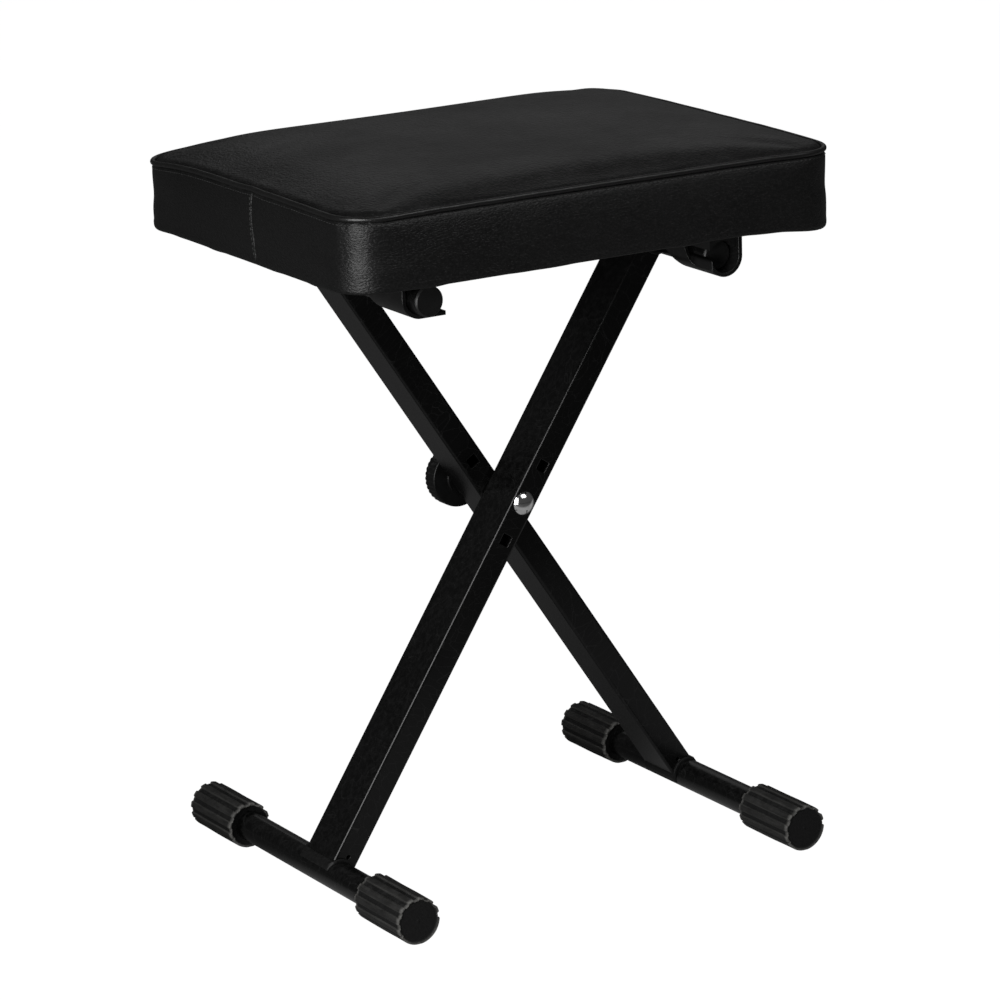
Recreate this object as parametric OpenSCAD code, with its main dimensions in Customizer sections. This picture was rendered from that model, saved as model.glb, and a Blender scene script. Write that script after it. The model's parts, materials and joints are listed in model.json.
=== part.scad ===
// Folding X-frame piano bench with a padded box cushion.
// Millimetres. +Z up, +X along the long side of the seat, +Y from front to rear.
// The origin is on the floor, under the middle of the seat.

/* [Seat] */
// Width of the seat, left to right
seat_w = 400; // [360:1:480]
// Depth of the seat, front to rear
seat_d = 314; // [290:1:380]
// Height of the cushion's side, from its bottom edge to the piping
side_h = 53; // [44:1:64]
// Rise of the crowned top above the piping
crown = 9; // [5:1:11]
// Radius of the cushion's upright corners
seat_corner_r = 32; // [20:1:40]
// Thickness of the vinyl cover
cover_t = 1.2; // [0.8:0.1:1.5]
// Radius of the piping cord
piping_r = 2.5; // [2:0.1:3]
// Thickness of the plywood board
board_t = 12; // [10:1:15]
// Width of the cover's turned-under edge
hem_w = 22; // [18:1:24]

/* [Legs] */
// Distance between the two top tubes, left to right
saddle_spacing = 238; // [198:1:286]
// Distance from the scissor pivot to a top tube
top_reach = 216.6; // [190:0.1:260]
// Distance from the scissor pivot to a foot tube
foot_reach = 300; // [250:1:360]
// Width of a leg, across the frame's own plane
leg_w = 20; // [18:1:21]
// Depth of a leg, front to rear
leg_d = 40; // [34:1:48]
// Radius of a leg's long edges
leg_edge_r = 2; // [1.5:0.1:3]
// Wall of the legs and of the round tubes
steel_t = 1.5; // [1.2:0.1:2]
// Radius of the round foot tubes and top tubes
tube_r = 11; // [10.6:0.1:13.2]
// Gap between the two legs, which the middle washer fills
leg_gap = 3; // [2:0.1:5]
// Distance between neighbouring height holes
hole_pitch = 30; // [24:1:36]
// Length of a top tube
top_tube_l = 236; // [200:1:270]
// Size of a weld bead
weld_size = 2; // [1:0.1:2.5]
// Radius of the vent hole near a leg's lower end
vent_r = 1.6; // [1:0.1:2]
// Distance from a foot tube's axis to the vent hole
vent_rise = 15; // [15:0.5:22]

/* [Feet] */
// Length of a foot, over its two rubber caps
foot_l = 310; // [280:1:350]
// Length of a rubber cap
cap_l = 62; // [50:1:75]
// Outer radius of a rubber cap
cap_r = 17.3; // [16.5:0.1:20]
// Height of a foot tube's axis above the floor, which flattens the caps a little
foot_axis_z = 17; // [16.3:0.1:19.8]
// Thickness of a cap's closed end
cap_end_t = 4; // [3:0.5:6]
// Number of places for a groove around a cap
groove_places = 12; // [8:1:14]
// Depth of a groove
groove_depth = 1.2; // [0.6:0.1:1.6]

/* [Saddles] */
// Thickness of the saddles' steel strip
strip_t = 3; // [2:0.1:3.5]
// Thickness of a bearing pad above the tube
pad_t = 5.1; // [4:0.1:7]
// Length that a hinge saddle reaches out past the end of its tube
hinge_overhang = 12; // [6:1:14]
// Length of a hinge saddle where it meets the seat
hinge_l = 73; // [66:1:78]
// Length of tube that shows outside a hook saddle
hook_setback = 11; // [6:1:14]
// Length of a hook saddle where it meets the seat
hook_l = 62; // [56:1:62]
// Length of either saddle along the bottom of its bend
bend_l = 40; // [34:1:44]
// Reach of a hook saddle's floor past the tube's axis
hook_floor = 20; // [14:1:22]

/* [Bolt and knob] */
// Radius of the carriage bolt's shank
bolt_r = 4; // [3.3:0.1:4.8]
// Length of bolt that shows past the knob's insert nut
bolt_past_nut = 6.8; // [4:0.1:8]
// Radius of the bolt's domed head
head_r = 8.7; // [8:0.1:10]
// Height of the dome
dome_h = 4.2; // [3:0.1:5]
// Thickness of the knob's washer
washer_t = 2; // [1.5:0.1:2.5]
// Outer radius of the middle washer
leg_washer_r = 11; // [10.5:0.5:16]
// Radius of the knob's rim
knob_r = 22.5; // [18:0.5:26]
// Thickness of the knob's rim
knob_rim_t = 14; // [12:0.5:16]
// Length of the knob's hub in front of the rim
hub_l = 5.1; // [4:0.1:7]
// Radius of the knob's hub
hub_r = 10; // [9.5:0.5:13]
// Number of grooves around the knob's rim
knurls = 36; // [24:1:40]

/* [Fasteners] */
// Radius of a saddle screw's shank
screw_r = 2.5; // [2:0.1:2.8]
// Radius of a saddle screw's countersunk head
screw_head_r = 4.8; // [4:0.1:5.2]
// Distance between the two screws of a saddle
screw_pitch = 34; // [26:1:36]
// Radius of a tee nut's barrel
tee_barrel_r = 3.4; // [3.3:0.1:4]
// Radius of a tee nut's flange
tee_flange_r = 9; // [8:0.1:10]
// Greatest distance between neighbouring staples
staple_pitch = 36; // [30:1:60]

/* [Clearances] */
// Radial clearance of a tube in its saddle's bend
saddle_clear = 0.4; // [0.3:0.05:0.5]
// Clearance between a tube and its bearing pad
pad_clear = 0.25; // [0.2:0.01:0.35]
// Gap between flat faces that turn past each other
face_gap = 0.1; // [0.05:0.01:0.2]
// Clearance of the bolt's shank in a square height hole, on each side
hole_clear = 0.1; // [0.08:0.01:0.1]
// Clearance of the bolt's square neck in a square hole, on each side
neck_clear = 0.05; // [0.03:0.01:0.1]
// Radial clearance of the washers, the insert nut and the caps on what they fit
fit_clear = 0.05; // [0.03:0.01:0.1]

/* [Hidden] */
$fn = 64;
eps = 1;

// Frame: the legs' lean and the heights that follow from it
lean = asin(saddle_spacing / 2 / top_reach);
pivot_z = foot_axis_z + foot_reach * cos(lean);
top_axis_z = pivot_z + top_reach * cos(lean);
foot_x = foot_reach * sin(lean);
leg_y = (leg_gap + leg_d) / 2;
leg_rear_face = leg_gap / 2 + leg_d;
hole_side = 2 * (bolt_r + hole_clear);

// Saddles, measured from a top tube's axis
bend_in_r = tube_r + saddle_clear;
bend_out_r = bend_in_r + strip_t;
plate_low = tube_r + pad_clear + pad_t;
plate_high = plate_low + strip_t;
hinge_outer_y = top_tube_l / 2 + hinge_overhang;
hook_outer_y = top_tube_l / 2 - hook_setback;
hinge_mid_y = hinge_outer_y - hinge_l / 2;
hook_mid_y = hook_outer_y - hook_l / 2;
seam_gap = 0.6;
cutback_r = 33;

// Seat levels
seat_z = top_axis_z + plate_high;
board_z = seat_z + cover_t;
foam_z = board_z + board_t;
piping_z = seat_z + side_h;
piping_inset = 1;
panel_inset = piping_inset + piping_r;
screw_reach = strip_t + cover_t + board_t;
screw_l = screw_reach - 1;
tee_flange_t = 1.2;
tee_barrel_l = 9;
staple_w = 10;
staple_wire = 1;
staple_leg = 6;
staple_inset = 11;

// Feet
groove_r = 3.2;
groove_phase = -5;
smooth_half = 34;
plug_flange_t = 2;
plug_depth = 12;
plug_taper = 1;

// Bolt and knob
washer_r = 12;
neck_l = 5;
hub_y = leg_rear_face + 2 * face_gap + washer_t;
nut_r = bolt_r + 3.4;
nut_l = 8;
bolt_l = leg_rear_face + hub_y + nut_l + bolt_past_nut;
knob_back_wall = 2;

// ---- Shared shapes ----

module rounded_rectangle(x, y, r) {
    square([x - 2 * r, y], center = true);
    square([x, y - 2 * r], center = true);
    for (sx = [-1, 1], sy = [-1, 1])
        translate([sx * (x / 2 - r), sy * (y / 2 - r)])
            circle(r);
}

// An upright block with the seat's outline, drawn in by inset
module seat_block(inset, low, high) {
    translate([0, 0, low])
        linear_extrude(high - low)
            rounded_rectangle(seat_w - 2 * inset, seat_d - 2 * inset, seat_corner_r - inset);
}

// Everything under the crowned top, drop below the cover's outer face
module under_crown(drop) {
    r_x = (pow(seat_w / 2, 2) + pow(crown, 2)) / (2 * crown);
    r_y = (pow(seat_d / 2, 2) + pow(crown, 2)) / (2 * crown);
    intersection() {
        translate([0, 0, piping_z + crown - r_x])
            rotate([90, 0, 0])
                cylinder(h = 2 * seat_d, r = r_x - drop, center = true, $fn = 2880);
        translate([0, 0, piping_z + crown - r_y])
            rotate([0, 90, 0])
                cylinder(h = 2 * seat_w, r = r_y - drop, center = true, $fn = 2880);
    }
}

// A solid made from a profile in X and Z, drawn along Y
module along_y(length) {
    rotate([90, 0, 0])
        linear_extrude(length, center = true)
            children();
}

// Stands a shape built on local +Z along +Y
module to_rear() {
    rotate([-90, 0, 0])
        children();
}

// side is -1 for the front piece and 1 for the rear one
module front_or_rear(side) {
    if (side < 0)
        children();
    else
        mirror([0, 1, 0]) children();
}

// ---- Seat ----

module seat_board() {
    color("burlywood")
        difference() {
            seat_block(cover_t, board_z, foam_z);
            each_screw()
                union() {
                    cylinder(h = screw_reach + eps, r = tee_barrel_r);
                    translate([0, 0, screw_reach - tee_flange_t])
                        cylinder(h = tee_flange_t + eps, r = tee_flange_r);
                }
        }
}

module seat_foam() {
    color("khaki") {
        seat_block(cover_t, foam_z, piping_z - piping_r);
        intersection() {
            seat_block(panel_inset, piping_z - piping_r, piping_z + crown + eps);
            under_crown(cover_t);
        }
    }
}

module seat_top_panel() {
    color([0.12, 0.12, 0.12])
        difference() {
            intersection() {
                seat_block(panel_inset, piping_z - cover_t, piping_z + crown + eps);
                under_crown(0);
            }
            intersection() {
                seat_block(0, piping_z - 2 * cover_t, piping_z + crown + eps);
                under_crown(cover_t);
            }
        }
}

module seat_boxing() {
    color([0.1, 0.1, 0.1])
        difference() {
            seat_block(0, seat_z, piping_z - piping_r);
            seat_block(cover_t, board_z, piping_z);
            seat_block(hem_w, seat_z - eps, board_z + eps);
        }
}

module seat_piping() {
    r = seat_corner_r - piping_inset;
    half_w = seat_w / 2 - seat_corner_r;
    half_d = seat_d / 2 - seat_corner_r;
    color([0.14, 0.14, 0.14])
        translate([0, 0, piping_z]) {
            for (s = [-1, 1]) {
                translate([0, s * (seat_d / 2 - piping_inset), 0])
                    rotate([0, 90, 0])
                        cylinder(h = 2 * half_w, r = piping_r, center = true);
                translate([s * (seat_w / 2 - piping_inset), 0, 0])
                    rotate([90, 0, 0])
                        cylinder(h = 2 * half_d, r = piping_r, center = true);
            }
            for (corner = [[1, 1, 0], [-1, 1, 90], [-1, -1, 180], [1, -1, 270]])
                translate([corner[0] * half_w, corner[1] * half_d, 0])
                    rotate([0, 0, corner[2]])
                        rotate_extrude(angle = 90)
                            translate([r, 0])
                                circle(piping_r);
        }
}

module seat_lining() {
    color([0.08, 0.08, 0.08])
        difference() {
            seat_block(hem_w, seat_z, board_z);
            each_screw()
                cylinder(h = strip_t + 2 * cover_t + eps, r = screw_r);
        }
}

module staple() {
    translate([-staple_w / 2, -staple_wire / 2, -staple_wire])
        cube([staple_w, staple_wire, staple_wire]);
    for (s = [-1, 1])
        translate([s * (staple_w - staple_wire) / 2 - staple_wire / 2, -staple_wire / 2, -eps / 4])
            cube([staple_wire, staple_wire, staple_leg]);
}

module cover_staples() {
    run_x = seat_w - 2 * seat_corner_r;
    run_y = seat_d - 2 * seat_corner_r;
    count_x = ceil(run_x / staple_pitch);
    count_y = ceil(run_y / staple_pitch);
    color("silver")
        for (s = [-1, 1]) {
            for (i = [0 : count_x])
                translate([run_x * (i / count_x - 0.5), s * (seat_d / 2 - staple_inset), seat_z])
                    staple();
            for (i = [0 : count_y])
                translate([s * (seat_w / 2 - staple_inset), run_y * (i / count_y - 0.5), seat_z])
                    rotate([0, 0, 90])
                        staple();
        }
}

// ---- Saddles, pads and their screws ----

// Puts a child at each of the eight screws, on the underside of its saddle's plate
module each_screw() {
    for (end = [-1, 1], s = [-0.5, 0.5]) {
        translate([saddle_spacing / 2, end * hinge_mid_y + s * screw_pitch, seat_z - strip_t])
            children();
        translate([-saddle_spacing / 2, end * hook_mid_y + s * screw_pitch, seat_z - strip_t])
            children();
    }
}

module saddle_screw() {
    cylinder(h = screw_head_r - screw_r, r1 = screw_head_r, r2 = screw_r);
    cylinder(h = screw_l, r = screw_r);
}

module saddle_screws() {
    color("silver")
        each_screw()
            saddle_screw();
}

module tee_nuts() {
    color("silver")
        each_screw()
            translate([0, 0, screw_reach])
                difference() {
                    union() {
                        translate([0, 0, -tee_flange_t])
                            cylinder(h = tee_flange_t, r = tee_flange_r);
                        translate([0, 0, -tee_barrel_l])
                            cylinder(h = tee_barrel_l, r = tee_barrel_r);
                    }
                    translate([0, 0, -tee_barrel_l - eps])
                        cylinder(h = tee_barrel_l + 2 * eps, r = screw_r);
                }
}

// The strip's side outline: full length at the seat, bend_l long under the tube
module saddle_outline(outer_y, length) {
    rotate([90, 0, 90])
        linear_extrude(3 * bend_out_r, center = true)
            polygon([[-outer_y, plate_high], [-outer_y, -bend_out_r],
                     [-outer_y + bend_l, -bend_out_r], [-outer_y + length, plate_low - strip_t],
                     [-outer_y + length, plate_high]]);
}

// A closed loop of strip around the tube, with its seam at the top of the inner arm
module hinge_profile() {
    difference() {
        union() {
            circle(bend_out_r);
            translate([-bend_out_r, 0])
                square([2 * bend_out_r, plate_high]);
        }
        circle(bend_in_r);
        translate([-bend_in_r, 0])
            square([2 * bend_in_r, plate_low]);
        translate([-bend_out_r - eps, plate_low - seam_gap])
            square([strip_t + 2 * eps, seam_gap]);
    }
}

// An arm, a quarter bend and a flat floor under the tube, open on the inner side
module hook_profile() {
    difference() {
        union() {
            circle(bend_out_r);
            translate([-bend_out_r, 0])
                square([2 * bend_out_r, plate_high]);
            translate([0, -bend_out_r])
                square([hook_floor, strip_t]);
        }
        circle(bend_in_r);
        translate([-bend_in_r, 0])
            square([2 * bend_out_r + eps, plate_low]);
        translate([0, -bend_in_r])
            square([bend_out_r + eps, plate_low + bend_in_r]);
    }
}

module saddle_holes(mid_y) {
    for (s = [-0.5, 0.5])
        translate([0, mid_y + s * screw_pitch, plate_low])
            saddle_screw();
}

module hinge_saddle(side) {
    color([0.09, 0.09, 0.09])
        translate([saddle_spacing / 2, 0, top_axis_z])
            front_or_rear(side)
                difference() {
                    intersection() {
                        translate([0, -hinge_mid_y, 0])
                            along_y(hinge_l)
                                hinge_profile();
                        saddle_outline(hinge_outer_y, hinge_l);
                    }
                    translate([-bend_out_r - eps, -hinge_outer_y, plate_low])
                        rotate([0, 90, 0])
                            cylinder(h = strip_t + eps, r = cutback_r);
                    saddle_holes(-hinge_mid_y);
                }
}

module hook_saddle(side) {
    color([0.09, 0.09, 0.09])
        translate([-saddle_spacing / 2, 0, top_axis_z])
            front_or_rear(side)
                difference() {
                    intersection() {
                        translate([0, -hook_mid_y, 0])
                            along_y(hook_l)
                                hook_profile();
                        saddle_outline(hook_outer_y, hook_l);
                    }
                    saddle_holes(-hook_mid_y);
                }
}

// A block between the arms, hollowed to the tube it bears on
module hinge_pad(side) {
    half = bend_in_r - fit_clear;
    color([0.2, 0.2, 0.2])
        translate([saddle_spacing / 2, 0, top_axis_z])
            front_or_rear(side)
                translate([0, -hinge_mid_y, 0])
                    difference() {
                        along_y(hinge_l - 2 * strip_t)
                            translate([-half, tube_r / 2])
                                square([2 * half, plate_low - tube_r / 2]);
                        along_y(hinge_l)
                            circle(tube_r + pad_clear);
                    }
}

// A flat-bottomed block, which lets its tube slide out sideways
module hook_pad(side) {
    color([0.2, 0.2, 0.2])
        translate([-saddle_spacing / 2, 0, top_axis_z])
            front_or_rear(side)
                translate([0, -hook_mid_y, 0])
                    along_y(hook_l - 2 * strip_t)
                        translate([-bend_in_r + fit_clear, tube_r + pad_clear])
                            square([bend_in_r + bend_out_r - fit_clear, pad_t]);
}

// ---- Legs, tubes and feet ----

// sign is 1 for the front leg, whose top leans right, and -1 for the rear leg
module leaning(sign) {
    translate([0, 0, pivot_z])
        rotate([0, sign * lean, 0])
            children();
}

module leg(sign) {
    color([0.07, 0.07, 0.07])
        leaning(sign)
            difference() {
                translate([0, -sign * leg_y, -foot_reach])
                    difference() {
                        linear_extrude(foot_reach + top_reach)
                            rounded_rectangle(leg_w, leg_d, leg_edge_r);
                        translate([0, 0, -eps])
                            linear_extrude(foot_reach + top_reach + 2 * eps)
                                square([leg_w - 2 * steel_t, leg_d - 2 * steel_t], center = true);
                    }
                for (i = [-1 : 1])
                    translate([-hole_side / 2, -sign * leg_y - leg_d, i * hole_pitch - hole_side / 2])
                        cube([hole_side, 2 * leg_d, hole_side]);
                translate([0, -sign * leg_y - leg_d / 2 - eps, vent_rise - foot_reach])
                    to_rear()
                        cylinder(h = steel_t + 2 * eps, r = vent_r);
                for (z = [-foot_reach, top_reach])
                    translate([0, -sign * leg_y, z])
                        to_rear()
                            cylinder(h = 2 * leg_d, r = tube_r, center = true);
            }
}

module round_tube(sign, z, length) {
    color([0.08, 0.08, 0.08])
        leaning(sign)
            translate([0, 0, z])
                to_rear()
                    difference() {
                        cylinder(h = length, r = tube_r, center = true);
                        cylinder(h = length + 2 * eps, r = tube_r - steel_t, center = true);
                    }
}

// A bead around the leg that follows the round tube's surface
module leg_welds(sign) {
    color([0.1, 0.1, 0.1])
        leaning(sign)
            for (end = [[-foot_reach, 1], [top_reach, -1]])
                translate([0, -sign * leg_y, end[0]])
                    difference() {
                        intersection() {
                            translate([0, 0, end[1] > 0 ? 0 : -2 * tube_r])
                                linear_extrude(2 * tube_r)
                                    rounded_rectangle(leg_w + 2 * weld_size, leg_d + 2 * weld_size,
                                                      leg_edge_r + weld_size);
                            to_rear()
                                cylinder(h = 2 * leg_d, r = tube_r + weld_size, center = true);
                        }
                        translate([0, 0, -3 * tube_r])
                            linear_extrude(6 * tube_r)
                                rounded_rectangle(leg_w, leg_d, leg_edge_r);
                        to_rear()
                            cylinder(h = 3 * leg_d, r = tube_r, center = true);
                    }
}

// Two plugs, one in each end of a top tube
module tube_plugs(sign) {
    bore = tube_r - steel_t - fit_clear;
    color([0.15, 0.15, 0.15])
        leaning(sign)
            translate([0, 0, top_reach])
                for (side = [-1, 1])
                    front_or_rear(side)
                        translate([0, -top_tube_l / 2, 0])
                            rotate([90, 0, 0])
                                rotate_extrude()
                                    polygon([[0, -plug_depth], [bore - plug_taper, -plug_depth],
                                             [bore, 2 * plug_taper - plug_depth], [bore, 0], [tube_r, 0],
                                             [tube_r, plug_flange_t / 2],
                                             [tube_r - plug_flange_t / 2, plug_flange_t],
                                             [0, plug_flange_t]]);
}

// A rubber cap standing on its closed end, before it is laid along the foot
module cap_blank() {
    rim_w = 2;
    edge = 1.2;
    dish = 0.8;
    difference() {
        rotate_extrude()
            polygon([[0, dish], [cap_r - rim_w - edge, dish], [cap_r - rim_w, 0],
                     [cap_r - edge, 0], [cap_r, edge], [cap_r, cap_l - edge],
                     [cap_r - edge, cap_l], [0, cap_l]]);
        translate([0, 0, cap_end_t])
            cylinder(h = cap_l, r = tube_r + fit_clear);
        for (i = [0 : groove_places - 1])
            let (a = groove_phase + i * 360 / groove_places)
                if (abs(((a + 360) % 360) - 90) > smooth_half)
                    rotate([0, 0, a])
                        translate([cap_r + groove_r - groove_depth, 0, -eps])
                            cylinder(h = cap_l + 2 * eps, r = groove_r);
    }
    cylinder(h = 2 * dish, r = 1);
}

// sign 1 is the front leg's foot, on the left; side -1 is the cap at the front
module foot_cap(sign, side) {
    color([0.22, 0.22, 0.22])
        front_or_rear(side)
            translate([-sign * foot_x, -foot_l / 2, foot_axis_z])
                difference() {
                    to_rear()
                        cap_blank();
                    translate([-cap_r, -eps, -2 * cap_r])
                        cube([2 * cap_r, cap_l + 2 * eps, 2 * cap_r - foot_axis_z]);
                }
}

// ---- Bolt, washers and knob ----

module carriage_bolt() {
    dome_r = (pow(head_r, 2) + pow(dome_h, 2)) / (2 * dome_h);
    neck = hole_side - 2 * neck_clear;
    color("silver")
        translate([0, -leg_rear_face, pivot_z]) {
            intersection() {
                translate([0, dome_r - dome_h, 0])
                    sphere(dome_r);
                translate([0, -dome_h - eps, 0])
                    to_rear()
                        cylinder(h = dome_h + eps, r = head_r);
            }
            rotate([0, lean, 0])
                translate([-neck / 2, 0, -neck / 2])
                    cube([neck, neck_l, neck]);
            to_rear()
                cylinder(h = bolt_l - eps, r = bolt_r);
            translate([0, bolt_l - eps, 0])
                to_rear()
                    cylinder(h = eps, r1 = bolt_r, r2 = bolt_r - eps);
        }
}

module flat_washer(y, outer_r, thickness) {
    color("silver")
        translate([0, y, pivot_z])
            to_rear()
                difference() {
                    cylinder(h = thickness, r = outer_r);
                    translate([0, 0, -eps])
                        cylinder(h = thickness + 2 * eps, r = bolt_r + fit_clear);
                }
}

module leg_washer() {
    flat_washer(-leg_gap / 2, leg_washer_r, leg_gap - face_gap);
}

module knob_washer() {
    flat_washer(leg_rear_face + face_gap, washer_r, washer_t);
}

module knob_hex() {
    cylinder(h = nut_l, r = nut_r, $fn = 6);
}

module knob() {
    edge = 1;
    thick = hub_l + knob_rim_t;
    knurl_r = 1.1;
    color([0.06, 0.06, 0.06])
        translate([0, hub_y, pivot_z])
            to_rear()
                difference() {
                    rotate_extrude()
                        polygon([[0, 0], [hub_r - edge, 0], [hub_r, edge], [hub_r, hub_l],
                                 [knob_r - edge, hub_l], [knob_r, hub_l + edge],
                                 [knob_r, thick - 2 * edge], [knob_r - 2 * edge, thick],
                                 [0, thick]]);
                    for (i = [0 : knurls - 1])
                        rotate([0, 0, i * 360 / knurls])
                            translate([knob_r + knurl_r / 3, 0, -eps])
                                cylinder(h = thick + 2 * eps, r = knurl_r, $fn = 24);
                    translate([0, 0, -eps])
                        cylinder(h = thick - knob_back_wall + eps, r = bolt_r + fit_clear);
                    knob_hex();
                }
}

module knob_nut() {
    color("goldenrod")
        translate([0, hub_y, pivot_z])
            to_rear()
                difference() {
                    knob_hex();
                    translate([0, 0, -eps])
                        cylinder(h = nut_l + 2 * eps, r = bolt_r + fit_clear);
                }
}

seat_board();
seat_foam();
seat_top_panel();
seat_boxing();
seat_piping();
seat_lining();
cover_staples();
tee_nuts();
saddle_screws();
hinge_saddle(-1);  // hinge_saddle_front
hinge_saddle(1);  // hinge_saddle_rear
hook_saddle(-1);  // hook_saddle_front
hook_saddle(1);  // hook_saddle_rear
hinge_pad(-1);  // hinge_pad_front
hinge_pad(1);  // hinge_pad_rear
hook_pad(-1);  // hook_pad_front
hook_pad(1);  // hook_pad_rear
leg(1);  // front_leg
round_tube(1, top_reach, top_tube_l);  // front_leg_top_tube
round_tube(1, -foot_reach, foot_l - 2 * cap_end_t);  // front_leg_foot_tube
leg_welds(1);  // front_leg_welds
tube_plugs(1);  // front_leg_plugs
leg(-1);  // rear_leg
round_tube(-1, top_reach, top_tube_l);  // rear_leg_top_tube
round_tube(-1, -foot_reach, foot_l - 2 * cap_end_t);  // rear_leg_foot_tube
leg_welds(-1);  // rear_leg_welds
tube_plugs(-1);  // rear_leg_plugs
foot_cap(1, -1);  // foot_cap_left_front
foot_cap(1, 1);  // foot_cap_left_rear
foot_cap(-1, -1);  // foot_cap_right_front
foot_cap(-1, 1);  // foot_cap_right_rear
carriage_bolt();
leg_washer();
knob_washer();
knob();
knob_nut();
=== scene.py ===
"""A folding keyboard bench: a piped box cushion on two crossed steel legs with ribbed rubber feet."""

from __future__ import annotations

import json
import logging
import math
from collections.abc import Iterable
from dataclasses import dataclass, field
from enum import Enum

import bmesh
import bpy
from mathutils import Matrix, Vector, noise
from mathutils.bvhtree import BVHTree

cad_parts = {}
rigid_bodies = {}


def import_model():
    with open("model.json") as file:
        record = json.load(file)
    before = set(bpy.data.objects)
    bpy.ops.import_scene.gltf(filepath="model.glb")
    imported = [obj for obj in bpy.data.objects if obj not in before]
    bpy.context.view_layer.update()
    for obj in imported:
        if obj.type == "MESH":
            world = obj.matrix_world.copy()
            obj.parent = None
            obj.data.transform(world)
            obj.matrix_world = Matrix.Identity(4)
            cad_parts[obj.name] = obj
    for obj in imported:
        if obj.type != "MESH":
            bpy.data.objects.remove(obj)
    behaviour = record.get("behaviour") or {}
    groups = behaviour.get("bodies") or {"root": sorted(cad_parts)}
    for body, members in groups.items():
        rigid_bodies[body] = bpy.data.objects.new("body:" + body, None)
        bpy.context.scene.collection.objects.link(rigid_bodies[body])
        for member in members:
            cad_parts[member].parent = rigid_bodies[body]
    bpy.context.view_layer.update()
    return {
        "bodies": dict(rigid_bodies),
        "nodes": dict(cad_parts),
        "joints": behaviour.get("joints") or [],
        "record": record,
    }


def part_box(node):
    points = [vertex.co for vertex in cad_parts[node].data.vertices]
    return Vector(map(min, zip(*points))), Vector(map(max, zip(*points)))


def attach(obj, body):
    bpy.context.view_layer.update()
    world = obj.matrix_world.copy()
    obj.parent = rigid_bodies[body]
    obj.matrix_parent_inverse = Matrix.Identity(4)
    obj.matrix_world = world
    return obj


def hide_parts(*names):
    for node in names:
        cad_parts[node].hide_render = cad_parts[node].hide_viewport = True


LOG = logging.getLogger("bench")
MM = 0.001
Point = tuple[float, float]
Colour = tuple[float, float, float, float]


class Side(Enum):
    """The front or the rear end of a tube, as a direction along Y."""

    FRONT = -1
    REAR = 1


# ---------------------------------------------------------------- shader building


class Graph:
    """A small helper that adds nodes to one node tree and links them."""

    def __init__(self, tree: bpy.types.NodeTree) -> None:
        """Keeps the tree that nodes are added to."""
        self.tree = tree

    def feed(self, node: bpy.types.Node, inputs: dict[str | int, object]) -> bpy.types.Node:
        """Gives each input its value, or links the socket that stands for it.

        Args:
            node: The node whose inputs are set.
            inputs: Values or output sockets by input name or number.

        Returns:
            The same node.
        """
        for name, value in inputs.items():
            if isinstance(value, bpy.types.NodeSocket):
                self.tree.links.new(value, node.inputs[name])
            else:
                node.inputs[name].default_value = value
        return node

    def add(self, kind: str, inputs: dict[str | int, object] | None = None,
            **settings: object) -> bpy.types.Node:
        """Adds one node.

        Args:
            kind: The node's type name.
            inputs: Values or output sockets by input name or number.
            settings: Properties of the node itself.

        Returns:
            The new node.
        """
        node = self.tree.nodes.new(kind)
        for name, value in settings.items():
            setattr(node, name, value)
        return self.feed(node, inputs or {})

    def math(self, operation: str, first: object, second: object = 0.0) -> bpy.types.NodeSocket:
        """Adds a Math node and returns its value."""
        return self.add("ShaderNodeMath", {0: first, 1: second}, operation=operation).outputs[0]

    def vector(self, operation: str, first: object, other: dict[str | int, object]) -> bpy.types.NodeSocket:
        """Adds a Vector Math node and returns its vector."""
        return self.add("ShaderNodeVectorMath", {0: first, **other}, operation=operation).outputs[0]

    def noise(self, place: object, scale: object, detail: float, **more: float) -> bpy.types.Node:
        """Adds a noise texture, whose further inputs are given by name."""
        named = {name.title(): value for name, value in more.items()}
        return self.add("ShaderNodeTexNoise", {"Vector": place, "Scale": scale, "Detail": detail, **named})

    def ramp(self, value: object, low: float, high: float) -> bpy.types.NodeSocket:
        """Maps a value from low..high to a smooth 0..1."""
        inputs = {"Value": value, "From Min": low, "From Max": high}
        return self.add("ShaderNodeMapRange", inputs, interpolation_type="SMOOTHSTEP").outputs["Result"]

    def spread(self, mask: object, low: object, high: object) -> bpy.types.NodeSocket:
        """Maps a mask of 0..1 to low..high."""
        inputs = {"Value": mask, "To Min": low, "To Max": high}
        return self.add("ShaderNodeMapRange", inputs).outputs["Result"]

    def mix(self, factor: object, first: object, second: object) -> bpy.types.NodeSocket:
        """Mixes two colours and returns the result."""
        return self.add("ShaderNodeMix", {0: factor, 6: first, 7: second}, data_type="RGBA").outputs[2]


def rgba(red: float, green: float, blue: float) -> Colour:
    """An opaque colour."""
    return (red, green, blue, 1.0)


def grey(value: float) -> Colour:
    """An opaque neutral colour."""
    return rgba(value, value, value)


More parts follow.
